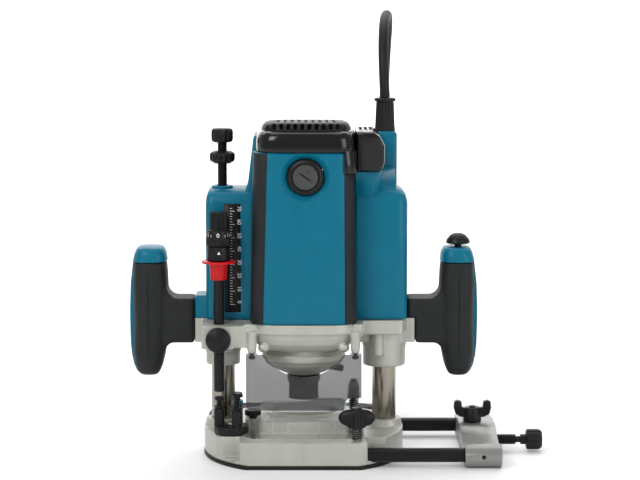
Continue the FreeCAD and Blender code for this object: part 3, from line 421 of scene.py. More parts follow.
def curve_mesh(name, depth):
    """The cord's route as a mesh: a line where depth is 0, or else a round tube."""
    curve = bpy.data.curves.new(name, "CURVE")
    curve.dimensions = "3D"
    curve.bevel_depth = depth
    curve.bevel_resolution = 4
    curve.resolution_u = 8
    curve.use_fill_caps = True
    spline = curve.splines.new("NURBS")
    points = CORD_ROUTE + coil_points()
    spline.points.add(len(points) - 1)
    for place, point in zip(spline.points, points):
        place.co = (*[part * MM for part in point], 1)
    spline.order_u = 3
    spline.use_endpoint_u = True
    holder = bpy.data.objects.new(name, curve)
    bpy.context.scene.collection.objects.link(holder)
    bpy.context.view_layer.update()
    data = bpy.data.meshes.new_from_object(holder.evaluated_get(bpy.context.evaluated_depsgraph_get()))
    bpy.data.objects.remove(holder)
    return data


def make_cord():
    """The cord from its guard to the hank behind the base, where it ends in the plug."""
    line = [vertex.co.copy() for vertex in curve_mesh("cord_line", 0).vertices]
    length = sum((after - before).length for before, after in zip(line, line[1:]))
    print("cord length", round(length, 4))
    tube = bpy.data.objects.new("power_cord", curve_mesh("power_cord", CORD_DIAMETER / 2 * MM))
    bpy.context.scene.collection.objects.link(tube)
    tube.data.materials.append(LOOKS["cord_rubber"])
    tube.data.shade_smooth()
    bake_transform(tube)
    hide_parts("cord_tube", "cord_coil")
    make_plug()


def make_plug():
    """A two-pin plug that lies flat beside the hank, with its ribbed sleeve."""
    mesh = slab((4, 114.5, 0), (38, 137.5, 18), 6, edge=2)
    pin = [(3, 0), (3.6, 2), (3.6, 12), (2.4, 17), (2.4, 17.2)]
    for y in (119.7, 132.3):
        lathe(pin, (38, y, PLUG_TAIL[2]), "x", 20, mesh=mesh)
    plug = piece("plug_body", mesh, "base", "black_plastic", ["plug"], bevel=0.6)
    tail = [(4.9, 0), (5.4, 0), (5.8, 2), (5.0, 3), (6.2, 5), (5.4, 6), (6.8, 8), (6, 9), (7.5, 12.5),
            (7, 13)]
    sleeve = piece("plug_sleeve", lathe(tail, PLUG_TAIL, "x", 32), "base", "black_rubber")
    sleeve.parent = plug
    return plug


make_cord()

# ---------------------------------------------------------------- light and floor


def make_light(name, at, towards, size, power):
    """An area light aimed at a point."""
    light = bpy.data.objects.new(name, bpy.data.lights.new(name, "AREA"))
    light.data.shape = "RECTANGLE"
    light.data.size = size[0]
    light.data.size_y = size[1]
    light.data.energy = power
    light.location = at
    light.rotation_euler = (Vector(towards) - Vector(at)).to_track_quat("-Z", "Y").to_euler()
    bpy.context.scene.collection.objects.link(light)


FLOOR_FRONT = -6000
BEND_START = 2600
BEND = 1600


def make_stage():
    """A pale floor that bends up far behind, beyond any camera that looks from the back."""
    world = bpy.context.scene.world or bpy.data.worlds.new("World")
    bpy.context.scene.world = world
    world.use_nodes = True
    back = world.node_tree.nodes["Background"]
    back.inputs["Color"].default_value = (1, 1, 1, 1)
    back.inputs["Strength"].default_value = 0.5
    angles = [step * EIGHTH / 4 for step in range(9)]
    bend = [(BEND_START + BEND * math.sin(angle), BEND * (1 - math.cos(angle))) for angle in angles]
    wall = BEND_START + BEND
    behind = [(wall, 6000), (wall + 30, 6000), (wall + 30, -30), (FLOOR_FRONT, -30)]
    sweep = [(FLOOR_FRONT, -0.05), *bend, *behind]
    backdrop = object_of("backdrop", prism(sweep, -7000, 7000, "x"))
    backdrop.data.materials.append(FLOOR_LOOK)
    backdrop.data.shade_smooth()
    backdrop.data.set_sharp_from_angle(angle=math.radians(40))
    middle = (0, 0, 0.15)
    make_light("key", (-0.9, -1.3, 1.3), middle, (0.7, 0.9), 16)
    make_light("fill", (1.3, -1.2, 0.6), middle, (0.7, 1.0), 8)
    make_light("top", (0, 0.3, 1.6), middle, (1.2, 1.2), 9)
    make_light("backdrop_light", (0, 2.4, 2.8), (0, 3.8, 0.2), (6, 1.2), 160)
    bpy.context.scene.view_settings.view_transform = "Standard"


make_stage()

# ---------------------------------------------------------------- motor housing

HOUSING_LOW = 118.2
HOUSING_TOP = 260.8
HOUSING_POWER = 6.5


def housing_at(height):
    """How far up the housing a height is, and its half width and half depth there."""
    rise = (height - HOUSING_LOW) / (HOUSING_TOP - HOUSING_LOW)
    return rise, 45 - 3.0 * rise, 52 - 0.8 * rise


def housing_outline(height, grow=0.0):
    """The housing's outline, which narrows a little towards its top."""
    half_x, half_y = housing_at(height)[1:]
    return superellipse(half_x + grow, half_y + grow, HOUSING_POWER, 120)


def make_housing():
    """The teal motor housing: a hollow shell, dished where each brush cap sits."""
    heights = (HOUSING_LOW, 119.4, 150, 190, 225, 245, 259.6, HOUSING_TOP)
    grows = (-1.2, 0, 0, 0, 0, 0, 0, -1.0)
    walls = loft([(height, housing_outline(height, grow)) for height, grow in zip(heights, grows)])
    made = object_of("housing_shell", walls)
    dish = [(21.5, -60), (20.6, -52), (19.2, -50.2), (15.6, -48.6), (15.6, -46), (0.1, -46)]
    behind = [(radius, -depth) for radius, depth in reversed(dish)]
    inside = loft([(height, superellipse(half_x, half_y, HOUSING_POWER, 72))
                   for height, half_x, half_y in ((110, 41, 47), (256, 38.5, 46))])
    combine(made, [*[lathe(profile, BRUSH_AT, "y", 72) for profile in (dish, behind)], inside], "DIFFERENCE")
    finish(made, "motor_unit", "teal_plastic", ["motor_housing"], bevel=0.5)


def strip_rings(corners, heights, thick):
    """A band over the housing's front corner between two x places, as rings round its thickness."""
    rings = []
    for z in heights:
        rise, half_x, half_y = housing_at(z)
        low = corners[0][0] + (corners[0][1] - corners[0][0]) * rise
        high = corners[1][0] + (corners[1][1] - corners[1][0]) * rise
        outer = []
        inner = []
        for step in range(9):
            x = low + (high - low) * step / 8
            share = min(0.9995, abs(x) / half_x)
            y = -half_y * (1 - share ** HOUSING_POWER) ** (1 / HOUSING_POWER)
            edge = 0.55 if step in (0, 8) else 1.0
            outer.append((x * (1 + 0.008 * edge), y - thick * edge, z))
            inner.append((x * 0.99, y + 0.6, z))
        rings.append(outer + inner[::-1])
    return rings


def make_strips():
    """The dark rubber bands up both front corners, and their twins at the back."""
    left = ((-44.4, -41.4), (-33.7, -30.0))
    right = ((34.4, 33.4), (44.4, 41.6))
    mesh = bmesh.new()
    for corners, top in ((left, 260.5), (right, 243)):
        heights = [118.8 + (top - 118.8) * step / 10 for step in range(11)]
        rings = strip_rings(corners, heights, 1.1)
        skin(mesh, rings)
        skin(mesh, [[(x, -y, z) for x, y, z in reversed(ring)] for ring in rings])
    piece("corner_strips", mesh, "motor_unit", "black_rubber", ["rubber_strips"], bevel=0.35)


def tower_sections(low, high, radii, top, slope):
    """An upright tower whose shoulders ease in towards its top. slope is (front, left, right)."""
    front, left, right = slope
    steps = ((0, 0.0), (0.45, 0.12), (0.75, 0.35), (0.92, 0.65), (1.0, 1.0))
    start = top - 12
    sections = [(HOUSING_LOW, rectangle((low[0] + 0.8, low[1] + 0.8), (high[0] - 0.8, high[1] - 0.8), radii)),
                (HOUSING_LOW + 0.8, rectangle(low, high, radii))]
    for share, inward in steps:
        ring_low = (low[0] + left * inward, low[1] + front * inward)
        ring_high = (high[0] - right * inward, high[1] - front * 0.5 * inward)
        sections.append((start + 12 * share, rectangle(ring_low, ring_high, radii)))
    return sections


def make_towers():
    """The two towers that hold the columns; the right one also carries the cord entry."""
    sections = tower_sections((-82, -24), (-42, 24), (2, 2, 8, 6), 227, (10, 4, 0))
    left = object_of("left_tower_shell", loft(sections))
    edges = ((216, -54, -20), (226, -49, -19), (232, -46.8, -18), (250, -44.6, -17), (270, -42.2, -16))
    fin = loft([*[(height, rectangle((side, front), (-38, 26), 2)) for height, side, front in edges],
                (272, rectangle((-41.2, -15), (-38, 25), 1.5))])
    foot = rectangle((-92, -14), (-78, 14), 3)
    root = loft([(HOUSING_LOW, foot), (135, foot), (137, rectangle((-90.5, -12.5), (-78, 12.5), 2))])
    collar = lathe([(9, 224), (9, 228.4), (8.2, 229.2), (8.1, 229.2)], (-COLUMN_X, 0, 0), steps=40)
    combine(left, [fin, root, collar], "UNION")
    recess = block((-66.4, -30, 124.4), (-52.6, -22.6, 216))
    bore = cylinder(4.8, 200, 240, (-COLUMN_X, 0, 0), steps=32)
    column_bore = cylinder(12.4, 110, 216, (-COLUMN_X, 0, 0), steps=32)
    combine(left, [recess, bore, column_bore], "DIFFERENCE")
    finish(left, "motor_unit", "teal_plastic", ["left_tower"], bevel=1.1)
    sections = tower_sections((43, -24), (87, 24), (9, 8, 2, 2), 229, (11, 0, 12))
    right = object_of("right_tower_shell", loft(sections))
    entry = loft([(200, rectangle((58, 18), (79.5, 51), 3)), (270, rectangle((59, 22), (79.5, 51), 3)),
                  (272, rectangle((60.5, 23.5), (78, 49.5), 2))])
    wedge = loft([(height, [(43, -10), (43, front), (57.5, front), (65.5, front + 11), (65.5, -10)])
                  for height, front in ((222, -22), (229, -30), (244, -34))])
    ramp = [(-19, 225), (24, 225), (24, 243.4), (8, 243.2), (-4, 240), (-13, 234), (-18, 229)]
    combine(right, [entry, wedge, prism(ramp, 41, 77, "x")], "UNION")
    column_bore = cylinder(12.4, 110, 216, (COLUMN_X, 0, 0), steps=32)
    combine(right, [column_bore, cylinder(5.4, 260, 280, (*CORD_AT, 0), steps=32)], "DIFFERENCE")
    finish(right, "motor_unit", "teal_plastic", ["right_tower"], bevel=1.1)


def make_brush_caps():
    """The screw caps over the brushes, front and back."""
    cap = [(0.1, -46.5), (15.2, -46.5), (15.2, -50.6), (14.4, -51.6), (12.2, -52.6), (11.3, -52.4),
           (10.8, -50.9), (0.1, -50.9)]
    mesh = lathe(cap, BRUSH_AT, "y", 72)
    lathe([(radius, -depth) for radius, depth in reversed(cap)], BRUSH_AT, "y", 72, mesh=mesh)
    rings = piece("brush_cap_rings", mesh, "motor_unit", "black_plastic", ["brush_caps"], bevel=0.25)
    face = [(0.1, -50.8), (10.6, -50.8), (10.6, -51.3), (10.2, -51.8), (0.1, -51.8)]
    disc = object_of("brush_cap_discs", lathe(face, BRUSH_AT, "y", 64))
    slot_mesh = slab((-5.2, -0.7, -2), (5.2, 0.7, 6), 0.6)
    turn = Matrix.Translation((BRUSH_AT[0], -51.8, BRUSH_AT[2])) @ Matrix.Rotation(math.radians(35), 4, "Y")
    slot_mesh.transform(turn @ Matrix.Rotation(math.pi / 2, 4, "X"))
    holes = [cylinder(1.0, -55, -51.2, (BRUSH_AT[0] + x, 0, BRUSH_AT[2] + z), "y", 16)
             for x, z in ((-5.6, 3.4), (5.4, -3.6), (1.6, 4.8))]
    combine(disc, [slot_mesh, *holes], "DIFFERENCE")
    grey = surface("GreyPlastic", (0.055, 0.056, 0.056), 0.42, mottle=0.08, grain=1200, relief=0.06)
    finish(disc, "motor_unit", "black_plastic", look=grey)
    disc.parent = rings


# ---------------------------------------------------------------- covers

COVER_CENTRE = (2, 0)
CAP_LEAN = -0.05
VENT_PITCH = 5.8


def cover_outline(half_x, half_y, power=5.5):
    """The plan of the top cover."""
    return superellipse(half_x, half_y, power, 120, COVER_CENTRE)


def make_top_cover():
    """The polished cover with its band, and the vented cap above it."""
    levels = ((261.0, 41.0, 51.2), (261.6, 41.9, 52.2), (264.5, 41.9, 52.4), (269.0, 41.7, 52.3),
              (272.6, 41.2, 51.8), (275.2, 40.2, 50.8), (277.2, 38.6, 49.2), (278.6, 36.4, 46.6))
    mesh = loft([(z, cover_outline(half_x, half_y)) for z, half_x, half_y in levels])
    cover = piece("gloss_cover", mesh, "motor_unit", "gloss_black", ["top_cover"], bevel=0.3)
    drop = [(z, superellipse(44.6 - 0.02 * (z - 243) + grow, 51.6 + grow, HOUSING_POWER, 120))
            for z, grow in ((243.2, 0.2), (243.8, 0.9), (262.0, 0.9), (262.6, 0.4))]
    corner = object_of("gloss_cover_corner", loft(drop))
    away = [block((-60, -60, 240), (33.4, 60, 266)), block((30, -14, 240), (60, 60, 266))]
    combine(corner, away, "DIFFERENCE")
    finish(corner, "motor_unit", "gloss_black", bevel=0.4)
    corner.parent = cover
    cap_levels = ((275.4, 37.2, 47.6), (277.4, 37.4, 47.8), (280.8, 36.2, 46.4), (282.6, 34.4, 44.2),
                  (283.4, 31.6, 40.6))
    sections = [(z, cover_outline(half_x, half_y, 4.5)) for z, half_x, half_y in cap_levels]
    cap = object_of("vented_cap", loft(sections))
    slots = []
    for place in range(12):
        x = -29.9 + VENT_PITCH * place
        for side in (-1, 1):
            ends = sorted((side * 38.5, side * 60))
            slots.append(block((x - 1.5, ends[0], 277.6), (x + 1.5, ends[1], 282.0)))
    for place in range(9):
        x = -21.2 + VENT_PITCH * place
        slots.append(block((x - 1.2, -34, 282.6), (x + 1.2, -6, 290)))
        slots.append(block((x - 1.2, 6, 282.6), (x + 1.2, 34, 290)))
    combine(cap, [join(slots)], "DIFFERENCE")
    lean = Matrix.Identity(4)
    lean[2][1] = CAP_LEAN
    cap.data.transform(lean)
    finish(cap, "motor_unit", "black_plastic", bevel=0.25)


def join(meshes):
    """One mesh that holds several which don't touch each other."""
    whole = meshes[0]
    for other in meshes[1:]:
        data = bpy.data.meshes.new("join")
        other.to_mesh(data)
        other.free()
        whole.from_mesh(data)
        bpy.data.meshes.remove(data)
    return whole


def make_side_cover():
    """The smaller faceted cover beside the top cover."""
    outline = [(43.2, 243.4), (62.4, 243.4), (65.2, 246.2), (67, 251.5), (67, 265.5), (62.8, 273.6),
               (58, 277.4), (43.2, 277.4)]
    middle = (55, 260)

    def ring(depth, share):
        return [(middle[0] + (x - middle[0]) * share, depth, middle[1] + (z - middle[1]) * share)
                for x, z in outline]

    depths = ((-38.5, 0.86), (-36.5, 0.97), (-33, 1.0), (16, 1.0), (20, 0.9))
    mesh = skin(bmesh.new(), [ring(depth, share) for depth, share in depths])
    cover = object_of("side_cover_shell", mesh)
    vents = [block((46.5 + 4.2 * place, -28, 276), (48.7 + 4.2 * place, 10, 280)) for place in range(3)]
    combine(cover, [join(vents)], "DIFFERENCE")
    finish(cover, "motor_unit", "gloss_black", ["side_cover"], bevel=0.6, sharp=20)


make_housing()
make_strips()
make_towers()
make_brush_caps()
make_top_cover()
make_side_cover()

# ---------------------------------------------------------------- cord guard


def make_cord_guard():
    """The ribbed guard that the cord leaves by."""
    profile = [(5.2, 262), (8.8, 262), (8.8, 272.4), (8.7, 274), (8.5, 276, 1), (7.7, 295, 1), (7.5, 297),
               (9.0, 297.4), (9.2, 298.4), (9.0, 299.6), (7.4, 300), (4.5, 300), (4.5, 290), (4.5, 270)]
    mesh = lathe(profile, (*CORD_AT, 0), steps=96, ribs=16, depth=1.0)
    piece("cord_sleeve", mesh, "motor_unit", "black_rubber", ["cord_guard"])


make_cord_guard()

# ---------------------------------------------------------------- motor bracket


def vent(start, side, length=22.4, depth=32.0):
    """A cutter for an exhaust slot in the round wall above the nose; side is -1 in front, 1 behind."""
    inner = [start + length * step / 8 for step in range(9)]
    points = [(x, side * math.sqrt(depth ** 2 - x ** 2)) for x in inner]
    points += [(start + length, side * 60), (start, side * 60)]
    return skin(bmesh.new(), [[(x, y, z) for x, y in points] for z in (90.4, 93.4)])


def make_bracket():
    """The light casting below the housing, with its bowl, arms and bushing housings."""
    levels = ((93.0, 33, 36), (94.2, 35.6, 39.5), (96.2, 38.6, 43.5), (100.2, 41.8, 47.4),
              (105.2, 43.8, 49.8), (109.0, 45.2, 51.2), (110.2, 46.2, 52.4), (117.9, 46.4, 52.6))
    bowl = loft([(z, superellipse(half_x, half_y, 4.2, 96)) for z, half_x, half_y in levels])
    made = object_of("bracket_casting", bowl)
    nose = [(0.1, 68.4), (13.6, 68.4), (14.6, 68.9), (19.5, 70.8), (27.5, 74.8), (32.2, 78.2), (33.4, 79.8),
            (33.9, 81.6), (35.0, 82.2), (35.4, 83.2), (35.2, 87.4), (34.2, 88.8), (33.4, 90), (33.8, 96),
            (0.1, 96)]
    parts = [
        lathe(nose, steps=96),
        slab((-92, -13.5, 97), (94, 13.5, 117.9), 2),
        slab((-82, -22.5, 108), (86.5, 22.5, 117.9), 8),
        slab((-85, -48, 97.2), (-58, -10, 116.6), 2),
        slab((-60, -46, 98), (-46.4, -10, 116.6), 1.5),
        slab((40, -28, 106), (84, -10, 117.9), 4),
        cylinder(14.4, 77, 112, (-COLUMN_X, 0, 0)),
        cylinder(15.2, 88, 110, (-COLUMN_X, 0, 0)),
        lathe([(17.4, 76), (18, 77), (18, 90), (19, 96), (19, 112)], (COLUMN_X, 0, 0)),
        cylinder(5.4, 87, 114, (62.5, -17.5, 0), steps=32),
        slab((57.1, -17.5, 87), (67.9, -6, 114), 0.3),
        cylinder(6, 12, 22.5, LOCK_LEVER_AT, "y", 32),
    ]
    for x in (-SHIELD_SCREW_X, SHIELD_SCREW_X):
        parts.append(lathe([(3.2, 93.2), (3.8, 97), (4.6, 112)], (x, -45, 0), steps=32))
        parts.append(lathe([(0.1, 93.6), (2.6, 94), (4.4, 95.8), (4.8, 98), (3.8, 100.6), (0.1, 102)],
                           (x * 0.775, -41.5, 0), steps=32))
    for x in (-44.5, 44.5):
        parts.append(slab((x - 5, -46, 108), (x + 5, 20, 117.9), 3))
    combine(made, parts, "UNION")
    cast(made, 0.75, 4)
    cuts = [cylinder(12.55, 60, 125, (x, 0, 0)) for x in (-COLUMN_X, COLUMN_X)]
    cuts.append(lathe([(10.2, 60), (10.2, 75), (17.6, 79), (17.6, 97), (36, 98), (36, 125)]))
    cuts.append(cylinder(4.7, 90, 125, ROD_AT, steps=32))
    cuts.append(cylinder(3.2, 5, 30, LOCK_LEVER_AT, "y", 24))
    cuts += [vent(start, side) for start in (-28, 5.6) for side in (-1, 1)]
    combine(made, cuts, "DIFFERENCE")
    finish(made, "motor_unit", "cast_aluminium", ["motor_bracket"], sharp=45)


def make_base():
    """The base casting: a D-shaped tray with a deep well, column bosses and a front block."""
    made = object_of("base_tray", loft([(3.1, d_outline(84.0, 69.5)), (3.8, d_outline(84.6, 69.9)),
                                        (23.5, d_outline(84.6, 69.9))]))
    boss = [(15.6, 3.2), (15.6, 24), (14.8, 27), (14.4, 30)]
    parts = [lathe(boss, (x, 0, 0)) for x in (-COLUMN_X, COLUMN_X)]
    parts.append(cylinder(15.2, 4, 23.7, (*TURRET_AT, 0)))
    combine(made, parts, "UNION")
    cuts = [
        slab((-50, -52, 3.4), (50, 50, 60), 6),
        slab((53, -95, 6.4), (95, -50, 60), 2),
        slab((-95, -95, 6.4), (-53, -50, 60), 2),
        slab((-53.5, -90, 22.6), (53.5, -52, 60), 0.5),
    ]
    combine(made, cuts, "DIFFERENCE")
    cast(made, 0.8, 3)
    bores = [cylinder(6.1, -95, 95, (0, y, BAR_Z), "x", 40) for y in (-BAR_Y, BAR_Y)]
    bores += [cylinder(10.1, 6, 60, (x, 0, 0), steps=48) for x in (-COLUMN_X, COLUMN_X)]
    bores += [cylinder(3.2, 10, 60, (CLAMP_X, y, 0), steps=24) for y in (-BAR_Y, BAR_Y)]
    bores += [block((-0.25, -71, 4), (0.25, -69.6, 22))]
    combine(made, bores, "DIFFERENCE")
    finish(made, "base", "cast_aluminium", ["base_casting"], sharp=45)


def d_outline(radius, flat, steps=96):
    """A circle whose front is cut off flat."""
    return [(x, max(y, -flat)) for x, y in superellipse(radius, radius, 2, steps)]


make_bracket()
make_base()

# ---------------------------------------------------------------- handles


def grip_sections(side, levels):
    """Sections of a side grip at each level; side is -1 on the left, 1 on the right."""
    return [(z, superellipse((outer - inner) / 2, half, 2.7, 64, (side * (outer + inner) / 2, 0)))
            for z, inner, outer, half in levels]


GRIP_LEVELS = ((67.4, 126, 136, 6), (68.4, 123.4, 139.2, 11), (71, 121.8, 141.6, 14.5),
               (76, 119.8, 143.8, 17), (84, 117.8, 145.6, 18.2), (94, 116, 146.6, 18.8),
               (112, 114.6, 147, 19), (126, 114.3, 147, 19), (146, 114.6, 146.2, 18.6),
               (158, 115.2, 144.8, 17.9), (165, 115.8, 144, 17.4))
CAP_LEVELS = ((165.3, 115.6, 144.4, 17.6), (166, 115.2, 144.6, 18), (172.5, 116, 142.8, 17.4),
              (176.2, 118, 140.8, 15.4), (177, 119.6, 139, 14))
RIM_SHARE = 3.4


def quarter(side, corner, radius, up):
    """A concave fillet between the grip's inner face and the top or bottom of its neck."""
    x, z = corner
    turn = 1 if up else -1
    points = [(x + 4, z - 3 * turn), (x + 4, z + radius * turn)]
    for step in range(9):
        angle = math.pi / 2 * step / 8
        points.append((x - radius + radius * math.cos(angle), z + turn * (radius - radius * math.sin(angle))))
    points.append((x - radius, z - 3 * turn))
    outline = [(side * px, pz) for px, pz in points]
    area = sum(p[0] * q[1] - q[0] * p[1] for p, q in zip(outline, outline[1:] + outline[:1]))
    return prism(outline if area > 0 else outline[::-1], -13.6, 13.6)


def make_grips():
    """The two side grips: a black body on its neck, a teal backing and a teal cap."""
    for name, side in (("left", -1), ("right", 1)):
        start = 92.2 if side < 0 else 87.3
        levels = [(z, inner, outer - RIM_SHARE * max(0, 1 - abs(z - 118) / 52), half)
                  for z, inner, outer, half in GRIP_LEVELS]
        grip = object_of(f"{name}_grip_body", loft(grip_sections(side, levels)))
        neck_low = sorted((side * start, side * 125))
        neck = [slab((neck_low[0], -15, 96.5 if side < 0 else 118.3), (neck_low[1], 15, 134.5), 3)]
        if side > 0:
            neck.append(slab((94.3, -15, 96.5), (125, 15, 134.5), 3))
        fillets = [quarter(side, (115.4, 134.2), 10, True), quarter(side, (117.4, 96.8), 9, False)]
        combine(grip, [*neck, *fillets], "UNION")
        cast(grip, 0.9, 22)
        seam_x = side * 131
        combine(grip, [block((seam_x - 0.2, -30, 74), (seam_x + 0.2, -17.6, 163))], "DIFFERENCE")
        if side > 0:
            combine(grip, [slab((121, 9, 117), (139, 40, 163), 3), cylinder(3.3, 145, 200, (BUTTON_X, 0, 0))],
                    "DIFFERENCE")
        finish(grip, "motor_unit", "black_rubber", [f"{name}_grip"], sharp=50)
        shell_levels = [(z, inner + 8, outer + 0.4, half + 0.3) for z, inner, outer, half in GRIP_LEVELS[1:]]
        shell = object_of(f"{name}_grip_backing", loft(grip_sections(side, shell_levels)))
        ends = sorted((side * 100, side * 134))
        cuts = [block((-160, -40, 50), (160, -1.5, 200)), block((ends[0], -40, 50), (ends[1], 40, 200))]
        combine(shell, cuts, "DIFFERENCE")
        finish(shell, "motor_unit", "teal_plastic", bevel=0.4)
        cap = object_of(f"{name}_cap", loft(grip_sections(side, CAP_LEVELS)))
        if side > 0:
            combine(cap, [cylinder(3.4, 160, 200, (BUTTON_X, 0, 0), steps=32)], "DIFFERENCE")
        finish(cap, "motor_unit", "teal_plastic", [f"{name}_grip_cap"], bevel=0.4)


def make_controls():
    """The trigger and the lock button of the right grip."""
    trigger = slab((122, 10, 118.2), (138, 22.4, 161.8), 5, edge=2.5)
    piece("trigger_lever", trigger, "trigger", "black_plastic", ["trigger"], bevel=0.6)
    button = [(0.1, 151.5), (3, 151.5), (3, 179.6), (9.6, 179.9), (10.2, 180.8), (9.6, 183), (8.2, 184.8),
              (6.4, 186.8), (3.6, 188.2), (0.1, 188.7)]
    piece("lock_button_cap", lathe(button, (BUTTON_X, 0, 0)), "lock_button", "black_plastic", ["lock_button"])


make_grips()
make_controls()

# ---------------------------------------------------------------- depth gauge


def threads(radius, depth, low, high, pitch):
    """A profile of fine ridges from low to high."""
    profile = []
    count = int((high - low) / pitch)
    for step in range(count):
        start = low + step * pitch
        profile += [(radius, start), (radius, start + 0.45 * pitch), (radius - depth, start + 0.7 * pitch)]
    profile.append((radius, high))
    return profile


def make_depth_gauge():
    """The depth rod with its dial, collar and red pointer."""
    rod = [(0.1, 59.6), (3.9, 59.6), *threads(4.5, 0.22, 60.2, 153.5, 1.55), (4.4, 170), (4.4, 196),
           (0.1, 196)]
    piece("depth_rod_bar", lathe(rod, ROD_AT, steps=32), "depth_rod", "black_steel", ["depth_rod"])
    collar = [(4.6, 170), (8.6, 170), (9.4, 170.8), (9.4, 181.6), (8.9, 182.3), (4.6, 182.3)]
    piece("index_ring", lathe(collar, ROD_AT), "depth_rod", "black_plastic", ["index_collar"], bevel=0.15)
    mark = prism([(-1.3, 176.2), (1.3, 176.2), (0, 178.8)], -0.1, 0.3)
    mark.transform(Matrix.Translation((ROD_AT[0] + 0.6, ROD_AT[1] - 9.55, 0)))
    piece("index_arrow", mark, "depth_rod", "black_plastic", look=WHITE_INK)
    dial = [(4.7, 182.5), (8.8, 182.5), (10.0, 183.2), (10.4, 184, 1), (10.4, 188.6, 1), (10.0, 189.4),
            (9.9, 190), (9.9, 194.4), (9.4, 195.6), (7.6, 196), (7.2, 196.8, 1), (7.3, 209.4, 1),
            (6.6, 210.8), (0.1, 211)]
    piece("dial_body", lathe(dial, ROD_AT, steps=144, ribs=24, depth=0.75), "depth_dial", "black_plastic",
          ["depth_dial"])
    ticks = bmesh.new()
    for place in range(20):
        if place in (14, 15, 16):
            continue
        turn = Matrix.Translation(Vector(ROD_AT)) @ Matrix.Rotation(FULL_TURN * place / 20, 4, "Z")
        tick = block((9.8, -0.16, 190.6), (10.0, 0.16, 192.6 if place % 2 else 194))
        tick.transform(turn)
        ticks = join([ticks, tick])
    zero = [superellipse(1.15 * share, 1.7 * share, 2, 24) for share in (1.0, 0.62)]
    rims = ((zero[0], 0.3), (zero[0], 0), (zero[1], 0), (zero[1], 0.3))
    numeral = skin(bmesh.new(), [[(x, depth, z) for x, z in ring] for ring, depth in rims], ends=False)
    numeral.transform(Matrix.Translation((ROD_AT[0], ROD_AT[1] - 10.05, 192.2)))
    piece("dial_marks", join([ticks, numeral]), "depth_dial", "black_plastic", look=WHITE_INK)
    cup = [(4.7, 154), (6.3, 154), (6.9, 154.8), (7.5, 166.4), (8.2, 168), (13.6, 168), (14.1, 168.6),
           (14.1, 169.4), (13.7, 169.9), (4.7, 169.9)]
    pointer = object_of("pointer_cup", lathe(cup, ROD_AT, steps=72))
    combine(pointer, [block((-110, -25, 150), (-40, 0, 175))], "DIFFERENCE")
    finish(pointer, "depth_pointer", "red_plastic", ["depth_pointer"], bevel=0.3)


def make_scale():
    """The depth scale with its marks and numbers."""
    plate = object_of("scale_plate", block((-66.1, -24.2, 124.8), (-52.9, -22.8, 215.6)))
    finish(plate, "motor_unit", "black_plastic", ["depth_scale"], bevel=0.2)
    marks = bmesh.new()
    for place in range(37):
        height = 131.0 + 2.25 * place
        long = place % 5 == 0
        marks = join([marks, block((-61.6, -24.34, height), (-57.6 if long else -59.6, -24.1, height + 0.4))])
    ticks = piece("scale_ticks", marks, "motor_unit", "black_plastic", look=WHITE_INK)
    for place in range(8):
        words = bpy.data.curves.new(f"scale_number_{place}", "FONT")
        words.body = str(place * 10)
        words.size = 4.6 * MM
        words.extrude = 0.08 * MM
        words.align_x = "CENTER"
        holder = bpy.data.objects.new(f"scale_number_{place}", words)
        bpy.context.scene.collection.objects.link(holder)
        bpy.context.view_layer.update()
        graph = bpy.context.evaluated_depsgraph_get()
        data = bpy.data.meshes.new_from_object(holder.evaluated_get(graph))
        bpy.data.objects.remove(holder)
        number = bpy.data.objects.new(f"scale_number_{place}", data)
        bpy.context.scene.collection.objects.link(number)
        number.data.transform(Matrix.Translation(Vector((-55.2, -24.25, 133.2 + 11.25 * place)) * MM)
                              @ Matrix.Rotation(math.pi / 2, 4, "X") @ Matrix.Rotation(-math.pi / 2, 4, "Z"))
        number.data.materials.clear()
        number.data.materials.append(WHITE_INK)
        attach(number, "motor_unit")
        number.parent = ticks


def make_rod_clamp():
    """The ribbed knob that clamps the depth rod."""
    knob = [(0.1, -60), (6.8, -60), (7.6, -59.2), (8.4, -58.8), (9.6, -58.4), (10.4, -57.4, 1),
            (10.5, -56, 1), (10.5, -51.4, 1), (9.9, -50, 1), (8.2, -49.2), (0.1, -49.2)]
    body = lathe(knob, ROD_CLAMP_AT, "y", steps=120, ribs=30, depth=0.7)
    dome = [(0.1, -61.2), (5.4, -61.2), (6.4, -60.6), (6.7, -59.6), (0.1, -59.6)]
    lathe(dome, ROD_CLAMP_AT, "y", 48, mesh=body)
    lathe([(0.1, -51), (3, -51), (3, -41), (0.1, -41)], ROD_CLAMP_AT, "y", 24, mesh=body)
    piece("rod_knob", body, "rod_clamp", "black_plastic", ["rod_clamp_knob"])


# ---------------------------------------------------------------- turret and height stop


def hexagon(radius, low, high, at, mesh):
    """A six-sided nut or bolt head with eased rims."""
    top = radius * 0.86
    profile = [(0.1, low), (top, low), (radius, low + 0.5), (radius, high - 0.5), (top, high), (0.1, high)]
    return lathe(profile, at, steps=6, mesh=mesh)


STOP_HEIGHTS = (55.0, 59.3, 57.0)


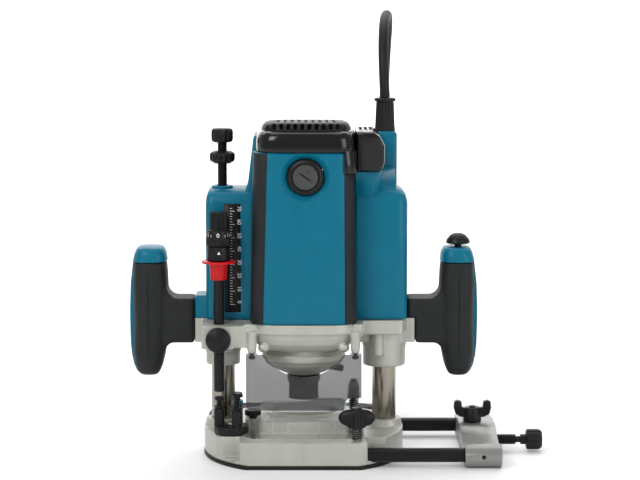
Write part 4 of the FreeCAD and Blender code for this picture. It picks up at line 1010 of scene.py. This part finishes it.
def make_turret():
    """The turning disc with its three stop bolts, and the screw it turns on."""
    at = (*TURRET_AT, 0)
    disc = [(2.7, 24.3), (13.6, 24.3), (14.6, 25.2), (14.6, 29.6, 1), (13.8, 30.8), (2.7, 31)]
    body = object_of("turret_disc", lathe(disc, at, steps=96, ribs=12, depth=0.9))
    posts = []
    bolts = bmesh.new()
    ring = bmesh.new()
    for station, height in enumerate(STOP_HEIGHTS):
        angle = math.radians(180 + 120 * station)
        x = at[0] + 10 * math.cos(angle)
        y = at[1] + 10 * math.sin(angle)
        spot = (x, y, 0)
        posts.append(lathe([(4.5, 29), (4.4, 44), (3.8, 45)], spot, steps=32))
        hexagon(4.2, 45.2, 47.6, spot, bolts)
        shank = [(0.1, 40), *threads(2.45, 0.3, 44, height - 4, 0.9), (0.1, height - 3.4)]
        lathe(shank, spot, steps=24, mesh=bolts)
        hexagon(4.1, height - 3.3, height, spot, bolts)
        if station == 2:
            flange = [(4.6, height - 3.9), (5.0, height - 3.6), (5.0, height - 3), (4.2, height - 2.6),
                      (0.1, height - 2.6)]
            lathe(flange, spot, steps=32, mesh=bolts)
            lathe([(3.2, 47.7), (4.7, 47.7), (4.7, 50.2), (3.2, 50.2)], spot, steps=32, mesh=ring)
    combine(body, posts, "UNION")
    finish(body, "turret", "black_plastic", ["stop_turret"], bevel=0.3)
    made = piece("turret_bolts", bolts, "turret", "black_steel", ["stop_bolts"], bevel=0.15)
    mark = piece("turret_mark", ring, "turret", "teal_plastic")
    mark.parent = made
    screw = [(0.1, 15.5), (2.5, 15.5), (2.5, 31.2), (4.6, 31.2), (4.6, 33), (4, 33.6), (0.1, 33.6)]
    made = object_of("pivot_screw", lathe(screw, at, steps=40))
    combine(made, [block((at[0] - 6, at[1] - 0.5, 32.6), (at[0] + 6, at[1] + 0.5, 40))], "DIFFERENCE")
    finish(made, "base", "bright_steel", ["turret_screw"], bevel=0.15)


def make_height_stop():
    """The threaded height rod with its knob and nut."""
    at = (-COLUMN_X, 0, 0)
    rod = [(0.1, 14), (3.6, 14), (3.9, 15), (3.9, 176), *threads(4.0, 0.34, 178, 266, 1.25), (3.9, 266.5),
           (3.9, 275.6), (0.1, 275.6)]
    piece("height_screw_rod", lathe(rod, at, steps=28), "height_screw", "black_steel", ["height_rod"])
    knob = [(4.05, 265.6), (7.4, 265.6), (8.6, 266.4), (9.2, 267.8, 1), (9.3, 269.4, 1), (9.3, 274.6, 1),
            (8.8, 276, 1), (7.6, 277), (3, 277.4), (0.1, 277.4), (0.1, 275.7), (4.05, 275.7)]
    knob = lathe(knob, at, steps=96, ribs=12, depth=0.9)
    piece("height_screw_knob", knob, "height_screw", "black_plastic", ["height_knob"])
    nut = [(4.1, 247.8), (7.4, 247.8), (8.2, 248.8), (9.6, 249.3), (10.6, 250.4, 1), (10.8, 252, 1),
           (10.8, 255.4, 1), (10.2, 256.4, 1), (8.8, 257.2), (7.4, 258), (4.1, 258)]
    nut = lathe(nut, at, steps=96, ribs=12, depth=1.1, bored=True)
    piece("height_lock_nut", nut, "height_nut", "black_plastic", ["height_nut"])


make_depth_gauge()
make_scale()
make_rod_clamp()
make_turret()
make_height_stop()

# ---------------------------------------------------------------- base fittings


def make_bar_clamps():
    """Oval knobs with a tapered, ribbed hub, each on a threaded stud with a spring of five turns."""
    oval = ((34.6, 7, 3.0), (35.6, 10.4, 3.8), (37.4, 13.2, 4.4), (40, 15.0, 4.9), (42.4, 15.4, 5),
            (44.8, 14.6, 4.8), (46.8, 12.4, 4.2), (48.2, 9.4, 3.4), (49, 5.6, 2.2))
    for name, y, across in (("front", -BAR_Y, True), ("rear", BAR_Y, False)):
        rings = []
        for z, long, short in oval:
            half = (long, short) if across else (short, long)
            rings.append((z, superellipse(*half, 2.4, 64)))
        body = object_of(f"{name}_clamp_oval", loft(rings))
        hub = [(5.2, 34), (5.6, 34.8, 1), (4.6, 42, 1), (3.6, 48, 1), (2.6, 51), (0.1, 51.2)]
        if across:
            hub = [(7.4, 34), (8.0, 34.8, 1), (6.4, 42, 1), (5.0, 48, 1), (4.2, 50.4), (0.1, 50.6)]
        combine(body, [lathe(hub, steps=96, ribs=12, depth=0.9)], "UNION")
        body.data.transform(Matrix.Translation(Vector((CLAMP_X, y, 0)) * MM))
        finish(body, f"{name}_clamp", "black_plastic", [f"{name}_clamp_knob"], bevel=0.4, sharp=40)
        stud = [(0.1, 16.8), *threads(3.0, 0.3, 17, 33.8, 1.0), (0.1, 34.4)]
        stud = lathe(stud, (CLAMP_X, y, 0), steps=24)
        piece(f"{name}_clamp_stud", stud, f"{name}_clamp", "bright_steel").parent = body
    coils = []
    top = 33.4
    last = 100
    for y, low in ((-BAR_Y, 22.9), (BAR_Y, 23.9)):
        rings = []
        for step in range(last + 1):
            angle = FULL_TURN * step / 20
            height = low + 0.5 + (top - low - 1.0) * step / last
            spoke = Vector((math.cos(angle), math.sin(angle), 0))
            centre = Vector((CLAMP_X, y, height)) + spoke * 4.1
            rings.append([centre + spoke * 0.45 * math.cos(FULL_TURN * part / 8)
                          + Vector((0, 0, 0.45 * math.sin(FULL_TURN * part / 8))) for part in range(8)])
        coils.append(skin(bmesh.new(), rings))
    piece("clamp_coils", join(coils), "base", "bright_steel", ["clamp_springs"], look=LOOKS["black_steel"])


def make_guide_set():
    """The guide holder on its two bars, with its wing nut and its fine adjuster."""
    front = (-BAR_Y, 9.8)
    rear = (BAR_Y, 8.5)
    outline = []
    for step in range(17):
        angle = math.radians(90 + 180 * step / 16 + 8)
        outline.append((front[0] + front[1] * math.cos(angle), BAR_Z + front[1] * math.sin(angle)))
    outline += [(-40, 3.4), (0, 2.2), (38, 2.2), (52, 2.6)]
    for step in range(13):
        angle = math.radians(-80 + 180 * step / 12)
        outline.append((rear[0] + rear[1] * math.cos(angle), BAR_Z + rear[1] * math.sin(angle)))
    outline += [(47, 18), (38, 21.6), (34, 22), (4, 22), (-2, 21.2), (-12, 17.6), (-30, 14.4), (-44, 14.6)]
    holder = object_of("guide_block", prism(outline, 133.8, 164.2, "x"))
    cuts = [cylinder(6.05, 120, 180, (0, y, BAR_Z), "x", 48) for y in (-BAR_Y, BAR_Y)]
    cuts.append(cylinder(2.95, 147, 180, (0, 0, BAR_Z), "x", 32))
    cuts.append(cylinder(3.15, 9, 40, WING_NUT_AT, steps=32))
    cuts.append(cylinder(0.9, -80, -60, (149, 0, BAR_Z), "y", 16))
    cuts.append(lathe([(1.9, -80), (1.9, -66.5), (0.1, -65)], (149, 0, BAR_Z), "y", 24))
    combine(holder, cuts, "DIFFERENCE")
    finish(holder, "guide_set", "brushed_aluminium", ["guide_holder"], bevel=0.6, sharp=30)
    hub = [(3.4, 22.3), (7.4, 22.3), (7.9, 23.4), (6.8, 33.6), (6.2, 34.6), (3.4, 34.6)]
    hub = object_of("wing_nut_body", lathe(hub, steps=48))
    wings = []
    for side in (-1, 1):
        arm = [(side * 4, 26), (side * 10, 26.4), (side * 14.6, 29), (side * 16, 34), (side * 15.6, 39.4),
               (side * 13, 40.6), (side * 9.6, 39.6), (side * 9, 34.6), (side * 4, 33.6)]
        wings.append(prism(arm if side > 0 else arm[::-1], -2.6, 2.6))
    combine(hub, wings, "UNION")
    hub.data.transform(Matrix.Translation(Vector(WING_NUT_AT) * MM))
    finish(hub, "wing_nut", "black_plastic", ["guide_wing_nut"], bevel=0.9, sharp=30)
    stud = lathe([(0.1, 10), *threads(3.0, 0.3, 10.2, 35.6, 1.0), (0.1, 36.4)], WING_NUT_AT, steps=24)
    piece("wing_nut_stud", stud, "wing_nut", "black_steel").parent = hub
    screw = [(0.1, 149), *threads(2.8, 0.3, 149.5, 164.8, 0.9), (4.3, 165),
             *threads(4.35, 0.4, 165.2, 181, 1.4), (2.7, 181.6), (2.7, 185.2), (4.3, 185.6), (4.3, 190),
             (7.6, 190.3), (8.6, 191.2, 1), (8.7, 192, 1), (8.7, 200.4, 1), (8.2, 202, 1), (7, 203.6),
             (0.1, 204)]
    screw = lathe(screw, (0, 0, BAR_Z), "x", 96, ribs=12, depth=1.0)
    piece("adjuster", screw, "adjust_screw", "black_plastic", ["adjust_screw"])


def make_shroud():
    """The clear shroud in the well: thin walls, a wide round opening and moulded ribs."""
    outer = object_of("clear_shroud", slab((-38, -41, 3.2), (38, 45, 35), 9, edge=1.5))
    cuts = [slab((-36, -39, 2), (36, 43, 33), 8), cylinder(29.5, -5, 80, steps=96)]
    combine(outer, cuts, "DIFFERENCE")
    finish(outer, "base", "clear_plastic", ["dust_shroud"], bevel=0.4)
    lip = [(29.6, 30), (31.6, 30), (31.6, 34.9), (33.4, 36.3), (33.0, 36.9), (29.6, 36.9)]
    piece("shroud_rim", lathe(lip, steps=96, bored=True), "base", "clear_plastic").parent = outer
    ribs = [slab((x - 1, -40.5, 12), (x + 1, -37.2, 34), 0.4) for x in (-26, -13, 13, 26)]
    ribs += [slab((-36, -40.9, z), (36, -39.4, z + 1.2), 0.3) for z in (14, 24)]
    ear = lathe([(2.3, 3.4), (6.2, 3.4), (6.2, 32.9), (2.3, 32.9)], THUMB_AT, steps=32, bored=True)
    piece("shroud_ribs", join([*ribs, ear]), "base", "clear_plastic").parent = outer
    thumb = [(0.1, 8), *threads(2.0, 0.25, 8.2, 32.6, 1.0), (3.6, 33.2), (3.8, 35), (6.4, 35.6),
             (7.0, 36.2, 1), (7.0, 39.2, 1), (6.2, 40.1), (3.2, 40.5), (0.1, 40.5)]
    thumb = lathe(thumb, THUMB_AT, steps=72, ribs=12, depth=0.6)
    piece("thumb_screw", thumb, "shroud_screw", "black_plastic", ["shroud_screw"])
    tab = join([slab((23, 53, 23.7), (36, 65, 32), 2.5, edge=1.0), slab((25, 51, 21.6), (34, 52.9, 26), 0.5)])
    piece("latch_tab", tab, "base", "teal_plastic", ["shroud_latch"], bevel=0.3)


def make_shield():
    """The smoke-grey chip shield, with a round scoop for the nose of the casting."""
    outline = []
    for step in range(25):
        angle = math.radians(210 + 120 * step / 24)
        outline.append((38 * math.cos(angle), 112 + 38 * math.sin(angle)))
    points = [(-48, 93), *outline, (48, 93), (48, 57), (40, 57), (36.6, 55.8), (34.2, 53), (33.4, 46),
              (-45, 46), (-48, 49)]
    shield = object_of("smoke_shield", prism(points, -51, -49))
    parts = [slab((-48, -51, 49), (-46, -44.2, 93), 0.8), slab((46, -51, 57), (48, -44.2, 93), 0.8)]
    places = (-SHIELD_SCREW_X, SHIELD_SCREW_X)
    parts += [slab((x - 4.5, -50.5, 91.4), (x + 4.5, -42, 92.9), 1) for x in places]
    combine(shield, parts, "UNION")
    combine(shield, [cylinder(1.8, 88, 100, (x, -46, 0), steps=20) for x in places], "DIFFERENCE")
    finish(shield, "motor_unit", "smoke_plastic", ["chip_shield"], bevel=0.3)
    heads = bmesh.new()
    screw = [(0.1, 88.7), (2, 88.7), (2.8, 89.4), (2.8, 91.3), (1.5, 91.3), (1.4, 99.6), (0.1, 99.6)]
    for x in places:
        lathe(screw, (x, -46, 0), steps=32, mesh=heads)
    piece("shield_fixings", heads, "motor_unit", "black_steel", ["shield_screws"])


def make_collet_nut():
    """The six-sided nut of the collet."""
    nut = [(9.0, 47.3), (12.6, 47.3), (13.9, 48.6), (14, 67.6), (13.2, 68.7), (9.0, 68.7)]
    nut = object_of("collet_nut_body", lathe(nut, steps=72, bored=True))
    for place in range(6):
        flat = block((12.4, -12, 48), (20, 12, 62))
        flat.transform(Matrix.Rotation(FULL_TURN * place / 6, 4, "Z"))
        combine(nut, [flat], "DIFFERENCE")
    finish(nut, "spindle", "black_steel", ["collet_nut"], bevel=0.4)


def make_plunge_lock():
    """The plunge lock lever behind the left column: a hub on its pin, with a long arm."""
    hub = [(0.1, 22.7), (7.6, 22.7), (8, 23.2), (8, 30.6), (7.2, 31.6), (0.1, 31.6)]
    hub = object_of("lever_hub", lathe(hub, LOCK_LEVER_AT, "y", 48))
    arm = [(-74, 100), (-73.6, 64), (-71.5, 58.5), (-68.5, 57.2), (-65.5, 58.5), (-63.4, 64), (-63, 100)]
    pin = lathe([(0.1, 14.8), (3, 14.8), (3, 24), (0.1, 24)], LOCK_LEVER_AT, "y", 32)
    combine(hub, [prism(arm, 24.8, 30.6), pin], "UNION")
    finish(hub, "plunge_lock", "black_plastic", ["plunge_lock_lever"], bevel=0.8, sharp=30)


make_bar_clamps()
make_guide_set()
make_shroud()
make_shield()
make_collet_nut()
make_plunge_lock()

# ---------------------------------------------------------------- kept CAD nodes


def dress_nodes():
    """Gives each CAD node that still shows its finish, and those listed in EDGED a fine edge."""
    for name, made in frame["nodes"].items():
        if made.hide_render:
            continue
        made.data.materials.clear()
        made.data.materials.append(LOOKS[NODE_SLOT[name]])
        for polygon in made.data.polygons:
            polygon.material_index = 0
        if name in EDGED:
            weld = made.modifiers.new("Weld", "WELD")
            weld.merge_threshold = 0.01 * MM
            edge = made.modifiers.new("Bevel", "BEVEL")
            edge.width = 0.4 * MM
            edge.segments = 2
            edge.limit_method = "ANGLE"
            edge.angle_limit = math.radians(40)


EDGED = ("left_column", "right_column", "front_guide_bar", "rear_guide_bar", "sub_base_plate", "collet",
         "shaft_lock_button")
dress_nodes()
